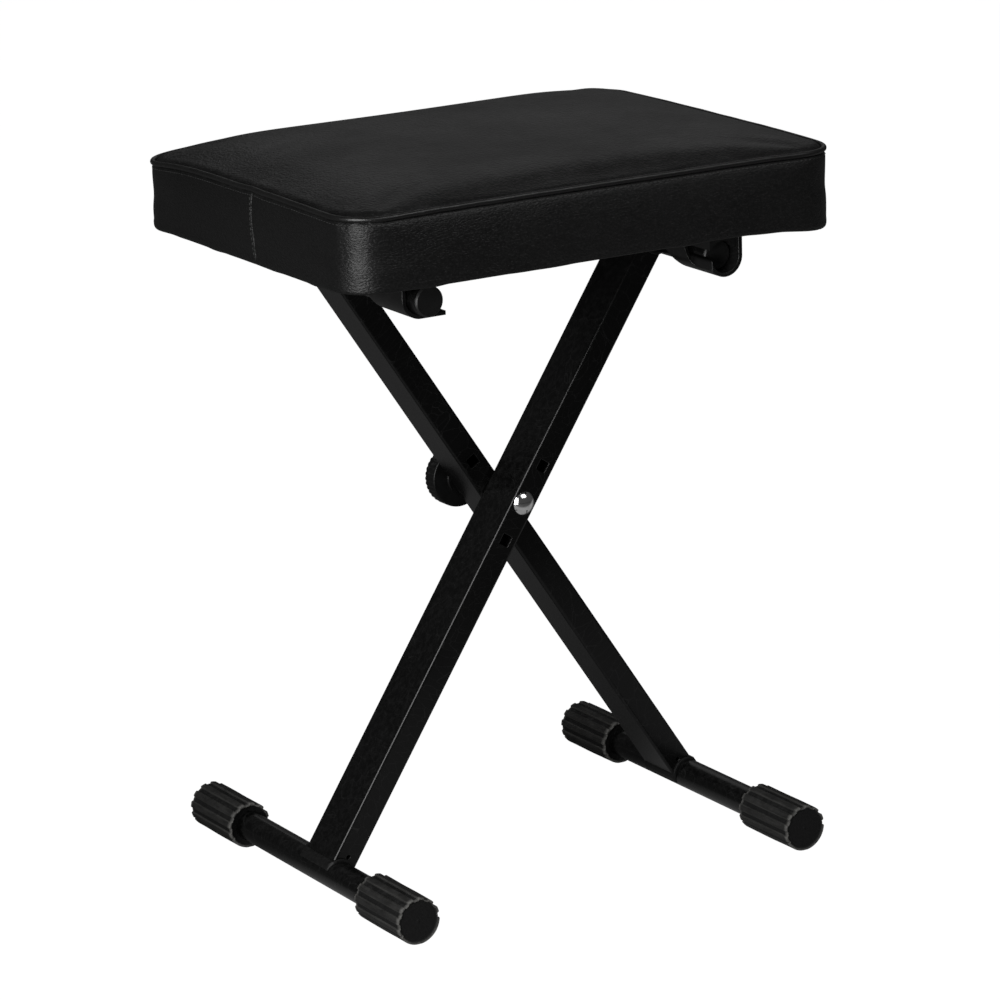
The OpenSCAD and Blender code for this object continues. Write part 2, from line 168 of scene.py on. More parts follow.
class GroupMaker:
    """Builds each shared effect once as a shader node group."""

    def __init__(self, name: str) -> None:
        """Starts an empty group.

        Args:
            name: The group's name.
        """
        self.tree = bpy.data.node_groups.new(name, "ShaderNodeTree")
        self.graph = Graph(self.tree)
        self.source = self.tree.nodes.new("NodeGroupInput")
        self.target = self.tree.nodes.new("NodeGroupOutput")

    def takes(self, name: str, kind: str, default: object = None) -> bpy.types.NodeSocket:
        """Adds an input to the group.

        Args:
            name: The input's name.
            kind: Float, Color or Vector.
            default: The value it has when nothing is given.

        Returns:
            The socket that gives the input's value inside the group.
        """
        socket = self.tree.interface.new_socket(name, in_out="INPUT", socket_type=f"NodeSocket{kind}")
        if default is not None:
            socket.default_value = default
        return self.source.outputs[name]

    def gives(self, name: str, kind: str, value: bpy.types.NodeSocket) -> None:
        """Adds an output to the group and feeds it."""
        self.tree.interface.new_socket(name, in_out="OUTPUT", socket_type=f"NodeSocket{kind}")
        self.tree.links.new(value, self.target.inputs[name])


class Effects:
    """The effects that several finishes share."""

    def __init__(self) -> None:
        """Builds every group."""
        self.pebble = self._pebble()
        self.mottle = self._mottle()
        self.dust = self._dust()
        self.scuff = self._scuff()

    def _pebble(self) -> bpy.types.NodeTree:
        """Cells with soft creases between them, such as a pressed leather grain.

        Returns:
            The group, which gives a height and a crease mask.
        """
        made = GroupMaker("pebble_grain")
        place = made.takes("Place", "Vector")
        size = made.takes("Cells Per Metre", "Float", 500.0)
        wander = made.takes("Wander", "Float", 0.3)
        graph = made.graph
        scaled = graph.vector("SCALE", place, {"Scale": size})
        drift = graph.noise(scaled, 0.45, 2.0).outputs["Color"]
        centred = graph.vector("SUBTRACT", drift, {1: (0.5, 0.5, 0.5)})
        moved = graph.vector("ADD", scaled, {1: graph.vector("SCALE", centred, {"Scale": wander})})
        cells = graph.add("ShaderNodeTexVoronoi", {"Vector": moved, "Scale": 1.0}, feature="DISTANCE_TO_EDGE")
        crease = graph.ramp(cells.outputs["Distance"], 0.0, 0.32)
        swell = graph.ramp(graph.noise(moved, 0.9, 1.0).outputs["Fac"], 0.3, 0.7)
        fine = graph.noise(moved, 4.0, 2.0).outputs["Fac"]
        coarse = graph.math("ADD", graph.math("MULTIPLY", crease, 0.35), graph.math("MULTIPLY", swell, 0.55))
        height = graph.math("ADD", coarse, graph.math("MULTIPLY", fine, 0.10))
        made.gives("Height", "Float", height)
        made.gives("Crease", "Float", crease)
        return made.tree

    def _mottle(self) -> bpy.types.NodeTree:
        """A slow, cloudy change between 0 and 1.

        Returns:
            The group, which gives a mask.
        """
        made = GroupMaker("cloudy_mottle")
        place = made.takes("Place", "Vector")
        scale = made.takes("Scale", "Float", 20.0)
        low = made.takes("Low", "Float", 0.35)
        high = made.takes("High", "Float", 0.65)
        graph = made.graph
        cloud = graph.noise(place, scale, 4.0, roughness=0.6)
        span = {"Value": cloud.outputs["Fac"], "From Min": low, "From Max": high}
        made.gives("Mask", "Float", graph.add("ShaderNodeMapRange", span).outputs["Result"])
        return made.tree

    def _dust(self) -> bpy.types.NodeTree:
        """Dust that settles on faces that look up.

        Returns:
            The group, which gives a mask.
        """
        made = GroupMaker("settled_dust")
        place = made.takes("Place", "Vector")
        amount = made.takes("Amount", "Float", 0.3)
        scale = made.takes("Scale", "Float", 90.0)
        graph = made.graph
        normal = graph.add("ShaderNodeNewGeometry").outputs["Normal"]
        up = graph.add("ShaderNodeSeparateXYZ", {0: normal}).outputs["Z"]
        facing = graph.ramp(up, 0.05, 0.95)
        patch = graph.noise(place, scale, 5.0, roughness=0.7)
        cover = graph.ramp(patch.outputs["Fac"], 0.38, 0.72)
        made.gives("Mask", "Float", graph.math("MULTIPLY", graph.math("MULTIPLY", facing, cover), amount))
        return made.tree

    def _scuff(self) -> bpy.types.NodeTree:
        """Sparse thin marks in many directions.

        Returns:
            The group, which gives a mask.
        """
        made = GroupMaker("fine_scuffs")
        place = made.takes("Place", "Vector")
        scale = made.takes("Scale", "Float", 60.0)
        amount = made.takes("Amount", "Float", 0.2)
        graph = made.graph
        bend = graph.noise(place, scale, 1.0).outputs["Color"]
        bent = graph.vector("ADD", bend, {1: place})
        inputs = {"Vector": bent, "Scale": graph.math("MULTIPLY", scale, 5.0)}
        streak = graph.add("ShaderNodeTexVoronoi", inputs, feature="DISTANCE_TO_EDGE").outputs["Distance"]
        line = graph.ramp(streak, 0.018, 0.0)
        made.gives("Mask", "Float", graph.math("MULTIPLY", line, amount))
        return made.tree


def place_of(graph: Graph, stretch: tuple[float, float, float] = (1.0, 1.0, 1.0)) -> bpy.types.NodeSocket:
    """Object coordinates, stretched along each axis.

    Args:
        graph: The material's graph.
        stretch: How much finer the pattern is along each axis.

    Returns:
        The stretched coordinate.
    """
    spot = graph.add("ShaderNodeTexCoord").outputs["Object"]
    return graph.add("ShaderNodeMapping", {"Vector": spot, "Scale": stretch}).outputs["Vector"]


def use(graph: Graph, tree: bpy.types.NodeTree, inputs: dict[str, object]) -> bpy.types.Node:
    """Places a shared group in a material, with its own values."""
    return graph.add("ShaderNodeGroup", inputs, node_tree=tree)


def mottled(graph: Graph, effects: Effects, place: bpy.types.NodeSocket, scale: float,
            low: float = 0.3, high: float = 0.7) -> bpy.types.NodeSocket:
    """Places the cloudy mottle and returns its mask."""
    inputs = {"Place": place, "Scale": scale, "Low": low, "High": high}
    return use(graph, effects.mottle, inputs).outputs["Mask"]


def dusted(graph: Graph, effects: Effects, place: bpy.types.NodeSocket, colour: bpy.types.NodeSocket,
           amount: float, scale: float, tone: float = 0.25) -> bpy.types.NodeSocket:
    """Lays settled dust over a colour.

    Args:
        graph: The material's graph.
        effects: The shared effects.
        place: The pattern's coordinate.
        colour: The clean colour.
        amount: How much the dust covers at most.
        scale: How fine its patches are.
        tone: The dust's grey.

    Returns:
        The dusty colour.
    """
    dust = use(graph, effects.dust, {"Place": place, "Amount": amount, "Scale": scale})
    return graph.mix(dust.outputs["Mask"], colour, grey(tone))


@dataclass(frozen=True)
class Finish:
    """What every finish has: a name, its two tones and how rough it is."""

    name: str
    dark: Colour
    light: Colour
    roughness: tuple[float, float]
    metallic: float = 0.0
    specular: float = 0.5

    def start(self) -> tuple[bpy.types.Material, Graph, bpy.types.Node]:
        """Makes an empty node material.

        Returns:
            The material, its graph and its Principled shader.
        """
        material = bpy.data.materials.new(self.name)
        material.use_nodes = True
        graph = Graph(material.node_tree)
        shader = next(n for n in material.node_tree.nodes if n.type == "BSDF_PRINCIPLED")
        graph.feed(shader, {"Metallic": self.metallic, "Specular IOR Level": self.specular})
        material.diffuse_color = self.light
        return material, graph, shader

    def surface(self, graph: Graph, shader: bpy.types.Node, colour: bpy.types.NodeSocket,
                wear: bpy.types.NodeSocket) -> None:
        """Feeds the colour, and lets wear move the roughness from its first value to its second.

        Args:
            graph: The material's graph.
            shader: Its Principled shader.
            colour: The finished colour.
            wear: A mask from 0 to 1.
        """
        graph.feed(shader, {"Base Color": colour, "Roughness": graph.spread(wear, *self.roughness)})

    def bump(self, graph: Graph, shader: bpy.types.Node, height: bpy.types.NodeSocket, depth: float,
             eased_edge: float = 0.0) -> None:
        """Adds a bump.

        Args:
            graph: The material's graph.
            shader: Its Principled shader.
            height: The bump's height, from 0 to 1.
            depth: What a height of 1 is, in metres.
            eased_edge: The radius that sharp edges are shaded with, in metres.
        """
        inputs = {"Height": height, "Distance": depth}
        if eased_edge > 0.0:
            eased = graph.add("ShaderNodeBevel", {"Radius": eased_edge}, samples=8)
            inputs["Normal"] = eased.outputs["Normal"]
        graph.feed(shader, {"Normal": graph.add("ShaderNodeBump", inputs).outputs["Normal"]})


@dataclass(frozen=True)
class Leatherette(Finish):
    """Vinyl with a pressed grain that runs in short level wrinkles, with painted shade in the grain's
    creases.
    """

    cells: float = 600.0
    stretch: tuple[float, float, float] = (0.6, 0.6, 1.75)
    grain_depth: float = 0.00027

    def build(self, effects: Effects) -> bpy.types.Material:
        """Builds the material.

        Args:
            effects: The shared effects.

        Returns:
            The new material.
        """
        material, graph, shader = self.start()
        plain = place_of(graph)
        place = place_of(graph, self.stretch)
        grain = use(graph, effects.pebble, {"Place": place, "Cells Per Metre": self.cells, "Wander": 0.9})
        cloud = mottled(graph, effects, plain, 9.0)
        # Painted shade: the grain's creases take the darker tone, over a real cloudy mottle.
        tone = graph.math("MULTIPLY", grain.outputs["Crease"], graph.math("ADD", cloud, 0.6))
        base = graph.mix(tone, self.dark, self.light)
        self.surface(graph, shader, dusted(graph, effects, plain, base, 0.035, 60.0, 0.22), cloud)
        self.bump(graph, shader, grain.outputs["Height"], self.grain_depth)
        return material


@dataclass(frozen=True)
class PowderCoat(Finish):
    """Satin black powder coat with a slight orange peel."""

    peel: float = 950.0
    peel_depth: float = 0.00003
    dust_amount: float = 0.03
    scuff_tone: float = 0.12
    eased_edge: float = 0.0011

    def build(self, effects: Effects) -> bpy.types.Material:
        """Builds the material.

        Args:
            effects: The shared effects.

        Returns:
            The new material.
        """
        material, graph, shader = self.start()
        place = place_of(graph)
        ripple = graph.noise(place, self.peel, 2.0).outputs["Fac"]
        cloud = mottled(graph, effects, place, 14.0)
        base = graph.mix(cloud, self.dark, self.light)
        dusty = dusted(graph, effects, place, base, self.dust_amount, 240.0)
        scuff = use(graph, effects.scuff, {"Place": place, "Scale": 7.0, "Amount": 0.06})
        self.surface(graph, shader, graph.mix(scuff.outputs["Mask"], dusty, grey(self.scuff_tone)), cloud)
        self.bump(graph, shader, ripple, self.peel_depth, self.eased_edge)
        return material


@dataclass(frozen=True)
class PlatedMetal(Finish):
    """Bright plated steel with fine scratches and small clouded patches."""

    scratch_scale: float = 120.0
    scratch_depth: float = 0.00002

    def build(self, effects: Effects) -> bpy.types.Material:
        """Builds the material.

        Args:
            effects: The shared effects.

        Returns:
            The new material.
        """
        material, graph, shader = self.start()
        place = place_of(graph)
        cloud = mottled(graph, effects, place, 260.0, 0.35)
        scratches = {"Place": place, "Scale": self.scratch_scale, "Amount": 0.15}
        scuff = use(graph, effects.scuff, scratches).outputs["Mask"]
        base = graph.mix(cloud, self.light, self.dark)
        self.surface(graph, shader, base, graph.math("MAXIMUM", cloud, scuff))
        self.bump(graph, shader, scuff, self.scratch_depth)
        return material


@dataclass(frozen=True)
class FootRubber(Finish):
    """Moulded rubber whose ridges are scuffed pale and whose grooves stay dark, with a painted highlight
    along the end rims and the groove edges.
    """

    # The scuffed wear colour of the crests; the painted rim highlight is laid over it further on.
    wear_and_highlight: Colour = (0.027, 0.0265, 0.0255, 1.0)
    # The pale colour of a painted highlight on the end rims and the top edges of the grooves.
    rim: Colour = (0.12, 0.118, 0.112, 1.0)
    speck_depth: float = 0.00006

    def build(self, effects: Effects) -> bpy.types.Material:
        """Builds the material, which reads the piece's ridge attribute and its rim attribute, the mask of a
        painted highlight.

        Args:
            effects: The shared effects.

        Returns:
            The new material.
        """
        material, graph, shader = self.start()
        place = place_of(graph)
        ridge = graph.add("ShaderNodeAttribute", attribute_name="ridge").outputs["Fac"]
        rim = graph.add("ShaderNodeAttribute", attribute_name="rim").outputs["Fac"]
        patch = mottled(graph, effects, place, 85.0, 0.3, 0.72)
        speck = mottled(graph, effects, place, 900.0, 0.35, 0.75)
        streak = mottled(graph, effects, place_of(graph, (1.0, 0.12, 1.0)), 420.0, 0.4, 0.75)
        cloudy = graph.math("ADD", graph.math("MULTIPLY", patch, 0.35), 0.12)
        rubbing = graph.math("ADD", cloudy, graph.math("MULTIPLY", streak, 0.45))
        base = graph.mix(speck, self.dark, self.light)
        crest = graph.mix(graph.math("MULTIPLY", ridge, rubbing), base, self.wear_and_highlight)
        # Painted highlight: the rim mask, broken by the streaks, lightens the end rims and groove edges to
        # the rim colour.
        edge = graph.math("MULTIPLY", rim, graph.math("ADD", graph.math("MULTIPLY", streak, 0.5), 0.4))
        wear_and_highlight = graph.mix(edge, crest, self.rim)
        self.surface(graph, shader, dusted(graph, effects, place, wear_and_highlight, 0.05, 160.0, 0.2), patch)
        self.bump(graph, shader, speck, self.speck_depth)
        return material


@dataclass(frozen=True)
class MouldedPlastic(Finish):
    """Plain moulded plastic with a fine spark-eroded texture."""

    texture_scale: float = 1500.0
    texture_depth: float = 0.00003

    def build(self, effects: Effects) -> bpy.types.Material:
        """Builds the material.

        Args:
            effects: The shared effects.

        Returns:
            The new material.
        """
        material, graph, shader = self.start()
        place = place_of(graph)
        fine = graph.noise(place, self.texture_scale, 3.0).outputs["Fac"]
        cloud = mottled(graph, effects, place, 70.0)
        base = graph.mix(cloud, self.dark, self.light)
        self.surface(graph, shader, dusted(graph, effects, place, base, 0.1, 300.0), cloud)
        self.bump(graph, shader, fine, self.texture_depth)
        return material


@dataclass(frozen=True)
class Cloth(Finish):
    """A felted or foamed sheet: random fibres or open cells, with painted shade in their hollows."""

    fibre_scale: float = 1300.0
    fibre_depth: float = 0.00015

    def build(self, effects: Effects) -> bpy.types.Material:
        """Builds the material.

        Args:
            effects: The shared effects.

        Returns:
            The new material.
        """
        material, graph, shader = self.start()
        place = place_of(graph)
        fibres = {"Place": place, "Cells Per Metre": self.fibre_scale, "Wander": 2.5}
        height = use(graph, effects.pebble, fibres).outputs["Height"]
        cloud = mottled(graph, effects, place, 25.0, 0.35, 0.65)
        # Painted shade: the low parts of the fibre relief take the darker tone, over a real cloudy mottle.
        tone = graph.math("MULTIPLY", height, graph.math("ADD", cloud, 0.4))
        self.surface(graph, shader, graph.mix(tone, self.dark, self.light), cloud)
        self.bump(graph, shader, height, self.fibre_depth)
        shader.inputs["Sheen Weight"].default_value = 0.15
        return material


@dataclass(frozen=True)
class Plywood(Finish):
    """Sanded plywood with long figure along X."""

    pore_depth: float = 0.00008

    def build(self, effects: Effects) -> bpy.types.Material:
        """Builds the material.

        Args:
            effects: The shared effects, which bare wood has no need of.

        Returns:
            The new material.
        """
        material, graph, shader = self.start()
        place = place_of(graph, (0.08, 1.0, 1.0))
        inputs = {"Vector": place, "Scale": 22.0, "Distortion": 3.0, "Detail": 3.0, "Detail Scale": 2.0}
        figure = graph.add("ShaderNodeTexWave", inputs, bands_direction="Y").outputs["Fac"]
        pores = graph.noise(place, 700.0, 4.0).outputs["Fac"]
        tone = graph.math("ADD", graph.math("MULTIPLY", figure, 0.6), graph.math("MULTIPLY", pores, 0.4))
        self.surface(graph, shader, graph.mix(tone, self.dark, self.light), pores)
        self.bump(graph, shader, pores, self.pore_depth)
        return material


class Look(Enum):
    """The finish of each kind of piece."""

    COVER = Leatherette("cushion_vinyl", grey(0.003), grey(0.006), (0.38, 0.48), specular=0.25)
    WELT = Leatherette("piping_vinyl", grey(0.003), grey(0.006), (0.32, 0.42), cells=900.0,
                       stretch=(1.0, 1.0, 1.0), grain_depth=0.0001, specular=0.4)
    THREAD = MouldedPlastic("bonded_thread", grey(0.018), grey(0.034), (0.5, 0.6), specular=0.3)
    LINING = Cloth("lining_cloth", grey(0.006), grey(0.018), (0.85, 0.95))
    FOAM = Cloth("seat_foam", rgba(0.62, 0.55, 0.33), rgba(0.80, 0.74, 0.52), (0.9, 1.0))
    BOARD = Plywood("birch_plywood", rgba(0.40, 0.27, 0.15), rgba(0.63, 0.47, 0.30), (0.5, 0.7))
    COAT = PowderCoat("black_powder_coat", grey(0.0012), grey(0.0022), (0.2, 0.26), specular=0.3)
    BEAD = PowderCoat("coated_weld", grey(0.003), grey(0.005), (0.45, 0.55), peel=420.0,
                      peel_depth=0.0003, specular=0.2)
    SADDLE = PowderCoat("saddle_coat", grey(0.003), grey(0.006), (0.28, 0.36), specular=0.35)
    BRIGHT = PlatedMetal("bright_zinc", grey(0.80), grey(0.95), (0.08, 0.2), metallic=1.0)
    # Painted shade: zinc coloured near black for the washers that sit between the legs and behind the knob.
    SHADED_ZINC = PlatedMetal("shaded_zinc", grey(0.02), grey(0.05), (0.3, 0.42), metallic=1.0)
    BRASS = PlatedMetal("insert_brass", rgba(0.55, 0.38, 0.14), rgba(0.80, 0.60, 0.27), (0.25, 0.4),
                        metallic=1.0)
    RUBBER = FootRubber("foot_rubber", grey(0.004), grey(0.008), (0.6, 0.8), specular=0.15)
    KNOB = MouldedPlastic("knob_plastic", grey(0.0015), grey(0.003), (0.36, 0.46), specular=0.22)
    PLUG = MouldedPlastic("plug_plastic", grey(0.004), grey(0.008), (0.38, 0.48), specular=0.35)
    PAD = MouldedPlastic("pad_nylon", grey(0.005), grey(0.010), (0.4, 0.55), specular=0.3)


class Palette:
    """The material of every look, built once."""

    def __init__(self) -> None:
        """Builds the materials."""
        effects = Effects()
        self.made = {look: look.value.build(effects) for look in Look}

    def __getitem__(self, look: Look) -> bpy.types.Material:
        """The material of one look."""
        return self.made[look]


# ---------------------------------------------------------------- mesh helpers


def new_piece(name: str, mesh_builder: bmesh.types.BMesh, material: bpy.types.Material, body: str,
              smooth: bool = True) -> bpy.types.Object:
    """Turns a finished bmesh into a piece of the bench that rides on a body.

    Args:
        name: The piece's name.
        mesh_builder: The bmesh, which is freed.
        material: The piece's material.
        body: The body that the piece moves with.
        smooth: Whether faces are shaded smooth.

    Returns:
        The new object.
    """
    mesh = bpy.data.meshes.new(name)
    for face in mesh_builder.faces:
        face.smooth = smooth
    mesh_builder.to_mesh(mesh)
    mesh_builder.free()
    mesh.materials.append(material)
    piece = bpy.data.objects.new(name, mesh)
    bpy.context.scene.collection.objects.link(piece)
    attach(piece, body)
    return piece


def applied(piece: bpy.types.Object) -> bpy.types.Mesh:
    """The piece's mesh with its modifiers applied, as a new mesh."""
    scene_state = bpy.context.evaluated_depsgraph_get()
    return bpy.data.meshes.new_from_object(piece.evaluated_get(scene_state))


def profile_chain(builder: bmesh.types.BMesh, points: Iterable[Point]) -> list[bmesh.types.BMEdge]:
    """Adds an open chain of edges, each point being (radius, distance along the axis).

    Args:
        builder: The bmesh to add to.
        points: The outline's points.

    Returns:
        The new edges.
    """
    corners = [builder.verts.new((radius, along, 0.0)) for radius, along in points]
    return [builder.edges.new(pair) for pair in zip(corners, corners[1:])]


def turned(builder: bmesh.types.BMesh, points: Iterable[Point], steps: int) -> None:
    """Turns an outline right round the Y axis into a closed solid.

    Args:
        builder: The bmesh to add to.
        points: The outline, from the axis and back to the axis.
        steps: The number of faces around.
    """
    edges = profile_chain(builder, points)
    corners = {corner for edge in edges for corner in edge.verts}
    bmesh.ops.spin(builder, geom=[*edges, *corners], cent=(0.0, 0.0, 0.0), axis=(0.0, 1.0, 0.0),
                   angle=math.tau, steps=steps, use_merge=True)
    bmesh.ops.remove_doubles(builder, verts=builder.verts, dist=1e-6)
    bmesh.ops.recalc_face_normals(builder, faces=builder.faces)


def arc(centre: Point, radius: float, start: float, end: float, steps: int) -> list[Point]:
    """Points along an arc, angles in degrees."""
    angles = [math.radians(start + (end - start) * i / steps) for i in range(steps + 1)]
    return [(centre[0] + radius * math.cos(a), centre[1] + radius * math.sin(a)) for a in angles]


def smoothstep(value: float, low: float, high: float) -> float:
    """A smooth 0..1 between low and high."""
    t = min(1.0, max(0.0, (value - low) / (high - low)))
    return t * t * (3.0 - 2.0 * t)


# ---------------------------------------------------------------- the seat


@dataclass(frozen=True)
class Outline:
    """The seat's outline: a rectangle with round corners, centred on the origin."""

    half_x: float
    half_y: float
    corner: float

    def inward(self, x: float, y: float) -> tuple[float, Vector]:
        """How far a point lies inside the outline.

        Args:
            x: The point's place.
            y: The point's place.

        Returns:
            The distance, and the direction straight out of the nearest side.
        """
        qx = abs(x) - (self.half_x - self.corner)
        qy = abs(y) - (self.half_y - self.corner)
        sx, sy = math.copysign(1.0, x), math.copysign(1.0, y)
        if qx > 0.0 and qy > 0.0:
            reach = math.hypot(qx, qy)
            return self.corner - reach, Vector((sx * qx / reach, sy * qy / reach, 0.0))
        if qx > qy:
            return self.corner - qx, Vector((sx, 0.0, 0.0))
        return self.corner - qy, Vector((0.0, sy, 0.0))

    def walk(self, inset: float, pitch: float) -> list[tuple[Vector, Vector]]:
        """Evenly spaced points along the outline, drawn in by inset.

        Args:
            inset: How far inside the outline the points lie.
            pitch: The wanted distance between points.

        Returns:
            Each point, and the direction straight out there.
        """
        straight_x = 2.0 * (self.half_x - self.corner)
        straight_y = 2.0 * (self.half_y - self.corner)
        radius = self.corner - inset
        bend = radius * math.pi / 2.0
        total = 2.0 * (straight_x + straight_y) + 4.0 * bend
        count = round(total / pitch)
        found = []
        for index in range(count):
            left = (index + 0.5) * total / count
            for side in range(4):
                turn = side * math.pi / 2.0
                run = straight_x if side % 2 == 0 else straight_y
                out = self.half_y if side % 2 == 0 else self.half_x
                heading = Vector((math.cos(turn), math.sin(turn), 0.0))
                outward = Vector((math.sin(turn), -math.cos(turn), 0.0))
                if left <= run:
                    found.append((outward * (out - inset) + heading * (left - run / 2.0), outward))
                    break
                left -= run
                if left <= bend:
                    angle = left / radius
                    centre = outward * (out - self.corner) + heading * (run / 2.0)
                    spoke = outward * math.cos(angle) + heading * math.sin(angle)
                    found.append((centre + spoke * radius, spoke))
                    break
                left -= bend
        return found


@dataclass
class Cushion:
    """The padded seat: a vinyl cover over foam, its piping, stitches and side seams."""

    palette: Palette
    corner_radius: float = 32 * MM
    piping_radius: float = 2.0 * MM
    piping_inset: float = 2.6 * MM
    hem_width: float = 22 * MM
    hem_zone: float = 7 * MM
    board_edge: float = 14 * MM
    voxel: float = 4.5 * MM
    start_inset: float = 1.5 * MM
    wall_band: Point = (2 * MM, 12 * MM)
    roll_rise: float = 6.4 * MM
    roll_length: float = 9 * MM
    dome_rise: float = 1.2 * MM
    dome_length: float = 60 * MM
    swell_cap: float = 5 * MM
    bulge: float = 1.3 * MM
    corner_droop: float = 1.2 * MM
    slack_droop: float = 4.0 * MM
    side_lean: float = 3.4 * MM
    fold_sag: float = 5.5 * MM
    hem_still: float = 3 * MM
    edge_band: Point = (2 * MM, 16 * MM)
    corner_post: float = 18 * MM
    corner_reach: float = 42 * MM
    lean_run: float = 60 * MM
    fold_post: float = 14 * MM
    fold_reach: float = 34 * MM
    fold_band: Point = (2 * MM, 20 * MM)
    notch: float = 3.2 * MM
    notch_depth: float = 2.4 * MM
    pucker_band: float = 6 * MM
    pucker_fade: float = 9 * MM
    staple_pitch: float = 36 * MM
    seam_y: float = -20 * MM
    seam_slant: float = 0.075
    seam_rise: float = 0.9 * MM
    seam_reach: float = 9 * MM
    pressure: float = 4.0
    frames: int = 20
    stitch_drop: float = 4.3 * MM
    stitch_pitch: float = 3.5 * MM
    stitch_length: float = 2.5 * MM
    stitch_radius: float = 0.3 * MM
    stitch_proud: float = 0.12 * MM
    stitch_from_seam: float = 1.9 * MM
    probe: float = 20 * MM
    seam_depth: float = 0.9 * MM
    seam_half: float = 0.65 * MM
    ridge_height: float = 0.45 * MM
    ridge_place: float = 1.8 * MM
    ridge_half: float = 0.9 * MM
    seam_band: float = 9 * MM
    seam_marks: tuple[float, ...] = (-3.0, -1.6, -0.8, 0.0, 0.8, 1.6, 3.0)
    low: Vector = field(init=False)
    high: Vector = field(init=False)
    piping_z: float = field(init=False)
    outline: Outline = field(init=False)

    def __post_init__(self) -> None:
        """Reads the seat's place and size from the frame."""
        self.low, self.high = (Vector(corner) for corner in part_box("seat_boxing"))
        ring_low, ring_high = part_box("seat_piping")
        self.piping_z = (ring_low[2] + ring_high[2]) / 2.0
        self.outline = Outline(self.high.x, self.high.y, self.corner_radius)

    def _blank(self) -> bpy.types.Object:
        """A closed block with round corners, remeshed for the cloth.

        Returns:
            The block.
        """
        builder = bmesh.new()
        bmesh.ops.create_cube(builder, size=1.0)
        height = self.piping_z - self.low.z
        half = Vector((self.high.x, self.high.y, height / 2.0))
        bmesh.ops.scale(builder, vec=half * 2.0, verts=builder.verts)
        bmesh.ops.translate(builder, vec=(0.0, 0.0, self.low.z + height / 2.0), verts=builder.verts)
        upright = [e for e in builder.edges if abs(e.verts[0].co.z - e.verts[1].co.z) > height / 2.0]
        bmesh.ops.bevel(builder, geom=upright, offset=self.corner_radius, segments=12,
                        profile=0.5, affect="EDGES", material=-1)
        mesh = bpy.data.meshes.new("cushion_cover")
        builder.to_mesh(mesh)
        builder.free()
        piece = bpy.data.objects.new("cushion_cover", mesh)
        bpy.context.scene.collection.objects.link(piece)
        remesh = piece.modifiers.new("even_quads", "REMESH")
        remesh.mode = "VOXEL"
        remesh.voxel_size = self.voxel
        even = applied(piece)
        piece.modifiers.clear()
        piece.data = even
        return piece

    def _crown_height(self, inside: float) -> float:
        """How far the top stands above the piping, a given way in from the edge.

        Args:
            inside: How far inside the outline the point lies.

        Returns:
            The height in metres.
        """
        along = max(0.0, inside)
        roll = self.roll_rise * (1.0 - math.exp(-along / self.roll_length))
        return roll + self.dome_rise * (1.0 - math.exp(-along / self.dome_length))

    def _pre_shape(self, mesh: bpy.types.Mesh) -> None:
        """Lifts the top and draws the walls in a little, so that the cloth starts small.

        Args:
            mesh: The blank's mesh.
        """
        for corner in mesh.vertices:
            inside, outward = self.outline.inward(corner.co.x, corner.co.y)
            level = smoothstep(corner.co.z, self.low.z + 0.55 * (self.piping_z - self.low.z), self.piping_z)
            wall = smoothstep(corner.co.z, self.low.z + self.board_edge, self.low.z + 2.0 * self.board_edge)
            wall *= 1.0 - smoothstep(inside, *self.wall_band)
            corner.co -= outward * (self.start_inset * wall)
            corner.co.z += self._crown_height(inside) * level

    def _pin_weight(self, place: Vector) -> float:
        """1 where the cover is sewn or stapled down, and 0 where it is free.

        Args:
            place: A point of the blank.

        Returns:
            The weight.
        """
        inside, _ = self.outline.inward(place.x, place.y)
        at_piping = abs(place.z - self.piping_z) < 0.7 * self.voxel and inside < 1.6 * self.voxel
        underneath = place.z < self.low.z + self.board_edge
        return 1.0 if at_piping or underneath else 0.0

    def _inflate(self, piece: bpy.types.Object) -> None:
        """Blows the cover up as cloth, then keeps each point's move within the cap.

        Args:
            piece: The shaped blank.
        """
        mesh = piece.data
        pins = piece.vertex_groups.new(name="sewn")
        for corner in mesh.vertices:
            weight = self._pin_weight(corner.co)
            if weight > 0.0:
                pins.add([corner.index], weight, "REPLACE")
        before = [corner.co.copy() for corner in mesh.vertices]
        cloth = piece.modifiers.new("cover", "CLOTH")
        settings = cloth.settings
        settings.quality = 6
        settings.use_pressure = True
        settings.uniform_pressure_force = self.pressure
        settings.vertex_group_mass = "sewn"
        settings.tension_stiffness = 20.0
        settings.compression_stiffness = 20.0
        settings.shear_stiffness = 8.0
        settings.bending_stiffness = 2.0
        settings.effector_weights.gravity = 0.0
        cloth.collision_settings.use_collision = False
        cloth.point_cache.frame_start = 1
        cloth.point_cache.frame_end = self.frames
        scene = bpy.context.scene
        for frame in range(1, self.frames + 1):
            scene.frame_set(frame)
        blown = applied(piece)
        piece.modifiers.clear()
        moves = [after.co - was for was, after in zip(before, blown.vertices)]
        scene.frame_set(1)
        LOG.info("cover: largest move in the cloth %.1f mm", 1000.0 * max(m.length for m in moves))
        for corner, was, move in zip(mesh.vertices, before, moves):
            reach = move.length
            if reach > 1e-9:
                capped = self.swell_cap * math.tanh(reach / self.swell_cap)
                corner.co = was + move * (capped / reach)
        bpy.data.meshes.remove(blown)

